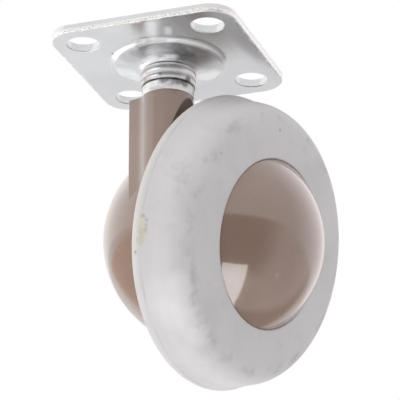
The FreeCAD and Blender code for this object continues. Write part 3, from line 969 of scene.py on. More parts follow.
@dataclass
class TopPlate:
    """The square pressing with its drawn boss, head recess and four screw holes.

    The plate's sides are marked as torn; hole_tear is how much the holes' walls are.
    """

    side: float = 41.3
    thick: float = 1.85
    corner: float = 5.8
    edge: float = 0.25
    hole_spacing: float = 28.2
    hole_radius: float = 3.5
    hole_edge: float = 0.2
    hole_tear: float = 0.3
    boss_radius: float = 12.9
    recess_radius: float = 11.6
    run_count: int = 16
    spoke_count: int = 12
    arc_count: int = 40
    flat_rows: int = 9
    wall_rows: int = 8
    boss_points: int = 110

    def boss_section(self) -> Section:
        """The plate's drawn middle.

        Returns:
            The line from the flat underside over boss and neck, up the pin hole to the flat top.
        """
        return Section((
            Corner(self.boss_radius, -self.thick),
            Corner(12.0, -2.4, 1.2, 1),
            Corner(11.4, -2.85, 0.6, -1),
            Corner(7.2, -3.5),
            Corner(5.6, LAYOUT.neck_end, 2.2, 1),
            Corner(LAYOUT.pin_radius, LAYOUT.neck_end),
            Corner(LAYOUT.pin_radius, -3.3),
            Corner(6.4, -1.45),
            Corner(10.7, -1.0),
            Corner(self.recess_radius, 0.0),
        ), End.FIXED, blur=0.38)

    def quarter_border(self, inner: float) -> Array:
        """Border of one quarter of a flat face, counter-clockwise from the boss along +X.

        Straight runs lie on the axes and on the plate's sides; the outer corner and the boss are
        arcs R (cos a, sin a) about their own centres.

        Args:
            inner: radius of the boss or of the recess.

        Returns:
            Points (n, 2), not repeating the first.
        """
        flat, core = self.side / 2 - self.edge, self.side / 2 - self.corner
        spoke = np.linspace(inner, flat, self.spoke_count, endpoint=False)
        back = np.linspace(flat, inner, self.spoke_count, endpoint=False)
        run = np.linspace(0.0, core, self.run_count, endpoint=False)
        turn = np.linspace(0.0, QUARTER_TURN, self.run_count, endpoint=False)
        bend = np.linspace(QUARTER_TURN, 0.0, self.arc_count, endpoint=False)
        reach = self.corner - self.edge
        xs = [spoke, np.full_like(run, flat), core + reach * np.cos(turn), core - run,
              np.zeros_like(back), inner * np.cos(bend)]
        ys = [np.zeros_like(spoke), run, core + reach * np.sin(turn), np.full_like(run, flat),
              back, inner * np.sin(bend)]
        return np.stack([np.concatenate(xs), np.concatenate(ys)], axis=1)

    def quarter_patches(self) -> list[Patch]:
        """Flat faces round one hole, top and bottom, and the hole's wall.

        A flat face runs from the hole's circle H to the border B as H + v (B - H). The wall is a
        circle whose radius widens by a quarter round at both ends.

        Returns:
            The three grids of the quarter in +X and +Y.
        """
        centre = np.full(2, self.hole_spacing / 2)
        grow = np.linspace(0.0, 1.0, self.flat_rows)[:, None, None]
        rim = self.hole_radius + self.hole_edge
        patches, angles = [], []
        for inner, level in ((self.boss_radius, -self.thick), (self.recess_radius, 0.0)):
            border = self.quarter_border(inner)
            arm = border - centre
            angle = np.arctan2(arm[:, 1], arm[:, 0])
            circle = centre + rim * np.stack([np.cos(angle), np.sin(angle)], axis=1)
            flat = circle + grow * (border - circle)
            patches.append(Patch(np.insert(flat, 2, level, axis=-1)))
            angles.append(angle)
        inset, rise = quarter_round(self.hole_edge)
        radius = self.hole_radius + np.concatenate([inset, inset[::-1]])
        height = np.concatenate([rise - self.thick, -rise[::-1]])
        share = (height / self.thick + 1)[:, None]
        shift = (angles[1] - angles[0] + math.pi) % FULL_TURN - math.pi
        angle = angles[0] + share * shift
        wall = [centre[0] + radius[:, None] * np.cos(angle),
                centre[1] + radius[:, None] * np.sin(angle),
                np.repeat(height[:, None], len(shift), axis=1)]
        marks = {"side": np.full_like(angle, self.hole_tear)}
        patches.append(Patch(np.stack(wall, axis=-1), marks=marks))
        return patches

    def side_patch(self) -> Patch:
        """The outer wall: a rounded square offset inwards by a quarter round at both edges.

        A point is K + N (corner radius - inset), with K on the square of corner centres and N its
        outward direction.

        Returns:
            The wall's grid, marked as side.
        """
        core = self.side / 2 - self.corner
        run = np.linspace(0.0, core, self.run_count, endpoint=False)
        turn = np.linspace(0.0, QUARTER_TURN, self.run_count, endpoint=False)
        still, full = np.zeros_like(run), np.ones_like(run)
        keel = np.concatenate([np.stack([core * full, run], axis=1),
                               np.full((len(turn), 2), core),
                               np.stack([core - run, core * full], axis=1)])
        normal = np.concatenate([np.stack([full, still], axis=1),
                                 np.stack([np.cos(turn), np.sin(turn)], axis=1),
                                 np.stack([still, full], axis=1)])
        spins = [np.linalg.matrix_power(QUARTER_SPIN[:2, :2], k) for k in range(4)]
        keel = np.concatenate([keel @ spin for spin in spins])
        normal = np.concatenate([normal @ spin for spin in spins])
        inset, rise = quarter_round(self.edge)
        straight = np.linspace(self.edge - self.thick, -self.edge, self.wall_rows)[1:-1]
        reach = self.corner - np.concatenate([inset, np.zeros_like(straight), inset[::-1]])
        height = np.concatenate([rise - self.thick, straight, -rise[::-1]])
        flat = keel + reach[:, None, None] * normal
        tall = np.repeat(height[:, None], len(keel), axis=1)
        grid = np.concatenate([flat, tall[..., None]], axis=-1)
        return Patch(grid, marks={"side": np.ones_like(tall)})

    def build(self, finish: Zinc) -> None:
        """Make and dress the plate.

        Args:
            finish: the plating.
        """
        line = self.boss_section().points(self.boss_points)
        boss = turned(line, LAYOUT.plate_axes(), 4 * self.arc_count, is_ring=False)
        patches = [boss, self.side_patch()]
        quarter = self.quarter_patches()
        for turn in range(4):
            spin = np.linalg.matrix_power(QUARTER_SPIN, turn)
            patches += [Patch(patch.points @ spin, marks=patch.marks) for patch in quarter]
        piece = solid("plate_pressing", patches)
        seat(piece, finish.material("bright_zinc"), Body.PLATE, "top_plate")


@dataclass
class SwivelStack:
    """The kingpin, the ridged collar below the plate and the flanged bush on top of the horn."""

    head_radius: float = 6.0
    groove_radius: float = 2.75
    groove_top: float = -15.75
    groove_foot: float = -16.55
    tip: float = -19.3
    collar_foot: float = -8.05
    waist: float = 5.8
    bush_bore: float = 3.25
    bush_top: float = -8.2
    bush_foot: float = -15.5
    flange: float = 5.65
    flange_edge: float = 0.4
    columns: int = 160
    pin_points: int = 110
    collar_points: int = 110
    bush_points: int = 90

    def pin_section(self) -> Section:
        """The riveted pin.

        Returns:
            The line from the crowned head over the ring's groove down to the tapered tip.
        """
        return Section((
            Corner(0.0, -0.45),
            Corner(self.head_radius, -0.85),
            Corner(self.head_radius, -1.681),
            Corner(LAYOUT.pin_radius, -3.3),
            Corner(LAYOUT.pin_radius, self.groove_top),
            Corner(self.groove_radius, self.groove_top),
            Corner(self.groove_radius, self.groove_foot),
            Corner(LAYOUT.pin_radius, self.groove_foot),
            Corner(LAYOUT.pin_radius, -17.0),
            Corner(1.9, -19.0),
            Corner(1.6, self.tip),
            Corner(0.0, self.tip),
        ), End.AXIS)

    def collar_section(self) -> Section:
        """The collar.

        Returns:
            The closed section, with two beads and a narrow end lip.
        """
        return Section((
            Corner(LAYOUT.pin_radius, LAYOUT.neck_end),
            Corner(LAYOUT.pin_radius, self.collar_foot),
            Corner(5.9, self.collar_foot),
            Corner(self.waist, -7.6, 0.5, 1),
            Corner(self.waist, -7.5),
            Corner(self.waist, -6.15, 1.2, 1),
            Corner(self.waist, -6.05),
            Corner(5.85, LAYOUT.neck_end, 1.4, 1),
        ), End.RING, blur=0.05)

    def bush_section(self) -> Section:
        """The bush.

        Returns:
            The closed section; its flange is the pale ring on the horn.
        """
        return Section((
            Corner(self.bush_bore, self.bush_top),
            Corner(self.bush_bore, self.bush_foot),
            Corner(LAYOUT.sleeve_radius, self.bush_foot),
            Corner(LAYOUT.sleeve_radius, LAYOUT.horn_top),
            Corner(self.flange, LAYOUT.horn_top),
            Corner(self.flange, self.bush_top - self.flange_edge),
            Corner(self.flange - self.flange_edge, self.bush_top, self.flange_edge, 1),
        ), End.RING, blur=0.05)

    def build(self, steel: TurnedSteel, pale: TurnedSteel, pin: PlainMetal) -> None:
        """Make and dress the three turned pieces.

        Args:
            steel: the collar's finish.
            pale: the bush's finish.
            pin: the kingpin's finish.
        """
        plate, swivel = LAYOUT.plate_axes(), LAYOUT.swivel_axes()
        line = self.collar_section().points(self.collar_points)
        collar = solid("collar_turning", [turned(line, plate, self.columns, is_ring=True)])
        metal = steel.material("turned_collar_steel")
        seat(collar, metal, Body.PLATE, "ridged_collar")
        line = self.pin_section().points(self.pin_points)
        post = solid("kingpin_turning", [turned(line, plate, self.columns, is_ring=False)])
        seat(post, pin.material("riveted_pin_steel"), Body.PLATE, "kingpin")
        line = self.bush_section().points(self.bush_points)
        ring = solid("swivel_bush_turning", [turned(line, swivel, self.columns, is_ring=True)])
        seat(ring, pale.material("pale_bush_steel"), Body.SWIVEL, "swivel_bush")


@dataclass
class HornHood:
    """The casting: upright horn with a squared back, running into a half-ball hood."""

    radius: float = 5.77
    back: float = 7.4
    half_width: float = 4.15
    draft: float = 0.2
    valley: float = 3.4
    corner: float = 0.3
    top: float = LAYOUT.horn_top
    foot: float = -34.5
    top_edge: float = 0.2
    bore: float = LAYOUT.sleeve_radius
    seat_radius: float = 2.0
    ledge: float = -19.3
    socket_end: float = -25.5
    blend: float = 2.0
    flare_from: float = 0.5
    flare_fade: float = 0.3
    ball: float = 22.5
    wall: float = 2.2
    mouth: float = 16.1
    lip: float = 1.2
    facet_sink: float = 0.03
    post: float = 7.0
    post_face: float = 19.2
    axle_hole: float = 4.0
    hole_end: float = 36.4
    rib_count: int = 4
    rib_half_thick: float = 0.8
    rib_start: float = 4.5
    rib_face: float = 24.5
    crease: float = 40.0
    fine_count: int = 7201
    sharpest: float = 0.3
    foot_rows: int = 24
    wall_rows: int = 130
    crown_rows: int = 6
    socket_points: int = 40
    horn_columns: int = 250
    shell_points: int = 160
    shell_columns: int = 260

    def ball_centre(self) -> Array:
        """Centre of the hood's ball, on the axle's line behind the wheel.

        Returns:
            The point (3,) in the swivel frame.
        """
        tilt = math.radians(LAYOUT.axle_tilt)
        back = self.mouth + self.lip
        return np.array([LAYOUT.wheel_reach - back * math.cos(tilt), LAYOUT.trail,
                         -LAYOUT.wheel_drop + back * math.sin(tilt)])

    def outline_radius(self, angle: Array, shrink: Array) -> Array:
        """Distance from the swivel axis to the horn's outline.

        The outline is the larger of the column's circle and the squared back's rectangle. A ray at
        angle a leaves the rectangle at the nearer of back / |cos a| and width / |sin a|. Hollow
        arcs in the two valleys and round arcs at the two back corners are met where the ray crosses
        their circles.

        Args:
            angle: directions about the axis.
            shrink: how much smaller the outline is, by the casting's draft.

        Returns:
            The distances, as broadcast from angle and shrink.
        """
        radius, back, width = self.radius - shrink, self.back - shrink, self.half_width - shrink
        ca, sa = np.cos(angle), np.sin(angle)
        side = width / np.maximum(np.abs(sa), TINY)
        rear = np.where(ca < 0, back / np.maximum(-ca, TINY), 0.0)
        reach = np.maximum(radius, np.minimum(side, rear))
        valley_y = width + self.valley
        valley_x = -np.sqrt((radius + self.valley) ** 2 - valley_y**2)
        reach = self.on_arc(reach, ca, sa, valley_x, valley_y, self.valley, is_hollow=True,
                            low=np.arctan2(valley_y, valley_x), high=np.arctan2(width, valley_x))
        nook_x, nook_y = -(back - self.corner), width - self.corner
        return self.on_arc(reach, ca, sa, nook_x, nook_y, self.corner, is_hollow=False,
                           low=np.arctan2(width, nook_x), high=np.arctan2(nook_y, -back))

    @staticmethod
    def on_arc(
        reach: Array,
        ca: Array,
        sa: Array,
        x: Array,
        y: Array,
        radius: float,
        is_hollow: bool,
        low: Array,
        high: Array,
    ) -> Array:
        """Put an arc into the outline on both sides of its mirror plane.

        Args:
            reach: the outline so far.
            ca: cosines of the directions.
            sa: sines of the directions.
            x: the arc's centre along X.
            y: the arc's centre along Y.
            radius: the arc's radius.
            is_hollow: whether the ray meets the arc's near side.
            low: direction in which the arc starts.
            high: direction in which it ends.

        Returns:
            The outline with the arc between the two directions.
        """
        along = ca * x + np.abs(sa) * y
        root = np.sqrt(np.maximum(along**2 - (x**2 + y**2 - radius**2), 0.0))
        met = along - root if is_hollow else along + root
        angle = np.arctan2(np.abs(sa), ca)
        return np.where((angle >= low) & (angle <= high), met, reach)

    def directions(self) -> Array:
        """Directions about the axis, closer together where the outline bends.

        Returns:
            The angles, from 0 to less than a full turn.
        """
        fine = np.linspace(0.0, FULL_TURN, self.fine_count)
        reach = self.outline_radius(fine, np.zeros(1))
        line = np.stack([reach * np.cos(fine), reach * np.sin(fine)], axis=1)
        travel = paced(line, self.sharpest)
        wanted = np.linspace(0.0, travel[-1], self.horn_columns, endpoint=False)
        return np.interp(wanted, travel, fine)

    def horn_patch(self) -> Patch:
        """The horn: its outline carried down the swivel axis.

        Rows run from the pole under the round foot up the wall, over the rounded top edge, across
        the flat top and down the socket. The foot is the outline times cos f at a depth R sin f,
        but ends where the hood's hollow cuts it off. Where the wall nears the ball, it flares by
        b - sqrt(b^2 - (b - d)^2) at a distance d, less where it faces away from the ball. What
        stands in front of the hood's mouth is moved back to the mouth's plane, and marked as facet.

        Returns:
            The closed grid.
        """
        angle = self.directions()[None, :]
        sink = np.linspace(QUARTER_TURN, 0.0, self.foot_rows, endpoint=False)
        foot_radius = self.radius - self.draft
        wall = np.linspace(self.foot, self.top - self.top_edge, self.wall_rows)
        drop, edge = (part[1:] for part in quarter_round(self.top_edge))
        low = self.foot - foot_radius * np.sin(sink)
        height = np.concatenate([low, wall, self.top - drop])[:, None]
        scale = np.concatenate([np.cos(sink), np.ones(len(wall) + len(edge))])[:, None]
        inset = np.concatenate([np.zeros(len(sink) + len(wall)), edge])
        shrink = self.draft * np.clip((self.top - height) / (self.top - self.foot), 0.0, 1.0)
        reach = self.outline_radius(angle, shrink) * scale - inset[:, None]
        x, y = reach * np.cos(angle), reach * np.sin(angle)
        x, y = self.flared(x, y, height)
        tilt = math.radians(LAYOUT.axle_tilt)
        limit = math.sin(tilt) * (height + LAYOUT.wheel_drop) - self.mouth - self.facet_sink
        limit = LAYOUT.wheel_reach + limit / math.cos(tilt)
        facet = (x > limit).astype(float)
        x = np.minimum(x, limit)
        outer = np.stack([x, y, np.maximum(height, self.column_end(x, y))], axis=-1)
        circle = np.stack([self.bore * np.cos(angle[0]), self.bore * np.sin(angle[0])], axis=-1)
        share = np.linspace(0.0, 1.0, self.crown_rows)[1:, None, None]
        flat = outer[-1, :, :2] + share * (circle - outer[-1, :, :2])
        crown = np.insert(flat, 2, self.top, axis=-1)
        line = self.socket_section().points(self.socket_points)[1:]
        shaft = np.stack([line[:, :1] * np.cos(angle), line[:, :1] * np.sin(angle),
                          np.repeat(line[:, 1:], angle.size, axis=1)], axis=-1)
        grid = np.concatenate([outer, crown, shaft])
        facet = np.concatenate([facet, np.zeros((len(grid) - len(facet), angle.size))])
        return Patch(LAYOUT.swivel_axes().place(grid), marks={"facet": facet})

    def socket_section(self) -> Section:
        """The socket for kingpin, bush and ball.

        Returns:
            The line from the top over a cone and a ledge down to the round seat of the ball.
        """
        return Section((
            Corner(self.bore, self.top),
            Corner(self.bore, -16.9),
            Corner(2.3, self.ledge),
            Corner(self.seat_radius, self.ledge),
            Corner(self.seat_radius, -21.4),
            Corner(0.0, -23.4, self.seat_radius, -1),
        ), End.FIXED, blur=0.05)

    def column_end(self, x: Array, y: Array) -> Array:
        """Lowest height of the column over a point, where the hood's hollow cuts it off.

        It lies in the middle of the shell's wall, c + sqrt(r^2 - (x - a)^2 - (y - b)^2) for a ball
        of radius r about (a, b, c), but not above the socket's end.

        Args:
            x: X of the points in the swivel frame.
            y: their Y.

        Returns:
            The heights; minus infinity beside the ball.
        """
        a, b, c = self.ball_centre()
        square = (self.ball - self.wall / 2) ** 2 - (x - a) ** 2 - (y - b) ** 2
        roof = np.where(square > 0, c + np.sqrt(np.maximum(square, 0.0)), -np.inf)
        return np.minimum(roof, self.socket_end)

    def flared(self, x: Array, y: Array, height: Array) -> tuple[Array, Array]:
        """Flare the horn's wall into the ball; the flare fades out within the ball's wall.

        Args:
            x: the wall's X in the swivel frame.
            y: the wall's Y.
            height: its height.

        Returns:
            X and Y of the flared wall.
        """
        centre = self.ball_centre()
        gap = np.stack(np.broadcast_arrays(x, y, height), axis=-1) - centre
        far = np.linalg.norm(gap, axis=-1)
        distance = np.clip(far - self.ball, 0.0, self.blend)
        lift = self.blend - np.sqrt(self.blend**2 - (self.blend - distance) ** 2)
        out = np.stack([x, y], axis=-1) / np.maximum(np.hypot(x, y), TINY)[..., None]
        facing = np.sum(out * gap[..., :2], axis=-1) / far
        amount = lift * np.clip(1 - facing**2, 0.0, 1.0) ** 2
        amount = amount * np.clip((self.flare_from - facing) / self.flare_fade, 0.0, 1.0)
        amount = amount * np.clip((far - self.ball) / self.wall + 1, 0.0, 1.0)
        return x + out[..., 0] * amount, y + out[..., 1] * amount

    def hood_section(self) -> Section:
        """The half-ball shell with its axle post.

        Returns:
            The line from the ball's pole over the mouth, the inner wall and the post to the end of
            the axle hole.
        """
        middle, inner = self.mouth + self.lip, self.ball - self.wall
        rim = math.sqrt(self.ball**2 - self.lip**2)
        inner_rim = math.sqrt(inner**2 - self.lip**2)
        return Section((
            Corner(0.0, -middle - self.ball),
            Corner(self.ball, -middle, self.ball, 1),
            Corner(rim, -self.mouth, self.ball, 1),
            Corner(inner_rim, -self.mouth),
            Corner(inner, -middle, inner, -1),
            Corner(self.post, -middle - math.sqrt(inner**2 - self.post**2), inner, -1),
            Corner(self.post, -self.post_face),
            Corner(self.axle_hole, -self.post_face),
            Corner(self.axle_hole, -self.hole_end),
            Corner(0.0, -self.hole_end),
        ), End.AXIS, blur=0.12)

    def rib_loop(self) -> Array:
        """Outline of one rib in the hood.

        Returns:
            Points (n, 2), from within the axle post out to the middle of the shell's wall.
        """
        middle, root = self.mouth + self.lip, self.ball - self.wall / 2
        return Section((
            Corner(self.rib_start, -middle - math.sqrt(root**2 - self.rib_start**2), root, -1),
            Corner(self.rib_start, -self.rib_face),
            Corner(math.sqrt(root**2 - (self.rib_face - middle) ** 2), -self.rib_face),
        ), End.RING, blur=0.1).points(RIB_POINTS)

    def build(self, finish: Enamel) -> None:
        """Make and dress the casting.

        Args:
            finish: the enamel.
        """
        axes = LAYOUT.wheel_axes()
        line = self.hood_section().points(self.shell_points)
        shell = turned(line, axes, self.shell_columns, is_ring=False)
        fins = ribs(self.rib_loop(), self.rib_half_thick, axes, self.rib_count)
        piece = solid("horn_hood_casting", [self.horn_patch(), shell, *fins], self.crease)
        seat(piece, finish.material("horn_enamel"), Body.SWIVEL, "horn_hood")


@dataclass
class BallWheel:
    """The domed wheel casting with its ribs, and the thick tyre on its rim.

    Spans are pairs of a radius and a height along the axle.
    """

    rim: float = 18.2
    groove: float = 16.7
    groove_front: float = 3.8
    groove_back: float = 9.8
    groove_slope: float = 0.8
    flange: float = 19.6
    flange_face: float = 13.4
    rim_back: float = 14.8
    dome: float = 22.4
    dome_centre: float = 13.3
    dome_wall: float = 1.8
    hub: float = 7.6
    hub_face: float = 16.7
    bush_hole: float = 5.2
    hole_end: float = 4.0
    rim_inside: float = 15.0
    rib_count: int = 6
    rib_half_thick: float = 0.8
    rib_face: float = 11.5
    rib_root: float = 0.5
    lip: float = 0.2
    back_edge: Span = (29.3, -14.0)
    tread_back: Span = (31.8, -11.3)
    tread_front: Span = (30.35, -5.45)
    face_edge: Span = (26.2, -0.9)
    back_shoulder: float = 2.8
    front_shoulder: float = 5.3
    valley: float = 0.2
    tread_rows: int = 25
    columns: int = 320
    dome_points: int = 220
    tyre_points: int = 190

    def on_dome(self, radius: float, across: float) -> float:
        """Height along the axle of a ball of that radius about the dome's centre."""
        return math.sqrt(radius**2 - across**2) - self.dome_centre

    def dome_section(self) -> Section:
        """The wheel casting.

        Returns:
            The line from inside the hub over hollow, rim and groove to the crown of the dome.
        """
        inside = self.dome - self.dome_wall
        return Section((
            Corner(0.0, self.hole_end),
            Corner(self.bush_hole, self.hole_end),
            Corner(self.bush_hole, -self.hub_face),
            Corner(self.hub, -self.hub_face),
            Corner(self.hub, self.on_dome(inside, self.hub)),
            Corner(self.rim_inside, self.on_dome(inside, self.rim_inside), inside, -1),
            Corner(self.rim_inside, -self.rim_back),
            Corner(self.flange, -self.rim_back),
            Corner(self.flange, -self.flange_face),
            Corner(self.rim, -self.flange_face),
            Corner(self.rim, -self.groove_back),
            Corner(self.groove, -self.groove_back + self.groove_slope),
            Corner(self.groove, -self.groove_front - self.groove_slope),
            Corner(self.rim, -self.groove_front),
            Corner(self.rim, self.on_dome(self.dome, self.rim)),
            Corner(0.0, self.dome - self.dome_centre, self.dome, 1),
        ), End.AXIS, blur=0.05)

    def rib_loop(self) -> Array:
        """Outline of one rib between hub and rim.

        Returns:
            Points (n, 2), flat at the back and following the dome in front.
        """
        root = self.dome - self.dome_wall / 2
        inner, outer = self.hub - self.rib_root, self.rim_inside + self.rib_root
        return Section((
            Corner(inner, -self.rib_face),
            Corner(outer, -self.rib_face),
            Corner(outer, self.on_dome(root, outer)),
            Corner(inner, self.on_dome(root, inner), root, 1),
        ), End.RING, blur=0.1).points(RIB_POINTS)

    def tyre_section(self) -> Section:
        """The tyre: flat face, round shoulders and a conical tread.

        The tread runs straight from A to B, less a shallow valley d (1 - cos 2 pi t) / 2.

        Returns:
            The closed section.
        """
        t = np.linspace(0.0, 1.0, self.tread_rows)[1:, None]
        start, stop = np.array(self.tread_back), np.array(self.tread_front)
        line = start + t * (stop - start)
        line[:, :1] -= self.valley * (1 - np.cos(FULL_TURN * t)) / 2
        tread = (Corner(*spot) for spot in line.tolist())
        return Section((
            Corner(self.rim, -self.lip),
            Corner(self.rim, -self.groove_front),
            Corner(self.groove, -self.groove_front - self.groove_slope),
            Corner(self.groove, -self.groove_back + self.groove_slope),
            Corner(self.rim, -self.groove_back),
            Corner(self.rim, -self.flange_face),
            Corner(self.flange, -self.flange_face),
            Corner(*self.back_edge),
            Corner(*self.tread_back, self.back_shoulder, 1),
            *tread,
            Corner(*self.face_edge, self.front_shoulder, 1),
            Corner(self.rim + self.lip, 0.0),
        ), End.RING, blur=0.06)

    def build(self, enamel: Enamel, rubber: Rubber) -> None:
        """Make and dress wheel and tyre.

        Args:
            enamel: the wheel's finish.
            rubber: the tyre's finish.
        """
        axes = LAYOUT.wheel_axes()
        line = self.dome_section().points(self.dome_points)
        shell = turned(line, axes, self.columns, is_ring=False)
        fins = ribs(self.rib_loop(), self.rib_half_thick, axes, self.rib_count)
        dome = solid("wheel_dome_casting", [shell, *fins])
        seat(dome, enamel.material("wheel_enamel"), Body.WHEEL, "wheel_dome")
        line = self.tyre_section().points(self.tyre_points)
        tyre = solid("tyre_moulding", [turned(line, axes, self.columns, is_ring=True)])
        seat(tyre, rubber.material("pale_grey_rubber"), Body.WHEEL, "tyre")


@dataclass
class HiddenFittings:
    """The inner pieces that keep their own CAD shape: rings, ball, axle, washer and wheel bush."""

    steel_nodes: tuple[str, ...] = (
        "kingpin_ring", "thrust_ball", "axle", "axle_washer", "axle_ring")
    bronze_nodes: tuple[str, ...] = ("wheel_bush",)

    def build(self, steel: PlainMetal, bronze: PlainMetal) -> None:
        """Dress the inner pieces.

        Args:
            steel: the finish of rings, ball, axle and washer.
            bronze: the wheel bush's finish.
        """
        groups = (
            (self.steel_nodes, steel.material("plain_fitting_steel")),
            (self.bronze_nodes, bronze.material("sintered_bronze")),
        )
        for nodes, material in groups:
            for node in nodes:
                dress(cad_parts[node], material)
                log.info("%s keeps its own shape", node)


@dataclass(frozen=True)
class Softbox:
    """A rectangular studio lamp, given in metres by one corner and its two edges.

    A lamp with pieces named in `only` shines on those alone.
    """

    name: str
    corner: Point
    edge: Point
    other_edge: Point
    radiance: float
    tint: Colour = (1.0, 1.0, 1.0)
    is_mirrored: bool = True
    is_lighting: bool = True
    only: tuple[str, ...] = ()

    def build(self, target: Point) -> None:
        """Hang the lamp with its light side to the target; power is radiance times area times four.

        Args:
            target: a point in front of the lamp.
        """
        across, upward = np.array(self.edge), np.array(self.other_edge)
        width, height = (float(np.linalg.norm(side)) for side in (across, upward))
        centre = np.array(self.corner) + (across + upward) / 2
        back = np.cross(across, upward) / (width * height)
        if back @ (centre - np.array(target)) < 0:
            across, back = -across, -back
        lamp = bpy.data.lights.new(self.name, "AREA")
        lamp.shape = "RECTANGLE"
        lamp.size, lamp.size_y = width, height
        lamp.energy = 4 * self.radiance * width * height
        lamp.color = self.tint
        holder = bpy.data.objects.new(self.name, lamp)
        bpy.context.scene.collection.objects.link(holder)
        columns = np.column_stack([across / width, upward / height, back, centre])
        holder.matrix_world = Matrix(np.vstack([columns, [0.0, 0.0, 0.0, 1.0]]))
        holder.visible_camera = False
        holder.visible_glossy = self.is_mirrored
        holder.visible_diffuse = self.is_lighting
        if self.only:
            group = bpy.data.collections.new(f"{self.name}_pieces")
            for piece in self.only:
                group.objects.link(bpy.data.objects[piece])
            holder.light_linking.receiver_collection = group


@dataclass(frozen=True)
class RoomZone:
    """A part of the mirrored room that is not white, with soft bounds in degrees.

    Each bound is a pair: where the zone's cover starts to rise from nothing, and where it is full.
    The bound above leans: it holds for the direction's Z less its X times `lean`.
    """

    left: Span
    right: Span
    below: Span
    above: Span
    colour: Colour
    lean: float = 0.0

    def cover(self, graph: Graph, bearing: Value, x: Value, z: Value) -> Value:
        """How much of the zone's colour is seen in a direction.

        Args:
            graph: the world's node tree.
            bearing: the direction's bearing from the front, in radians.
            x: the direction's X.
            z: the direction's Z.

        Returns:
            0 outside the zone and 1 well inside it.
        """
        cover = 1.0
        for bounds in (self.left, self.right):
            cover = cover * graph.ease(bearing, *(math.radians(angle) for angle in bounds))
        for height, bounds in ((z, self.below), (z - self.lean * x, self.above)):
            cover = cover * graph.ease(height, *(math.sin(math.radians(angle)) for angle in bounds))
        return cover


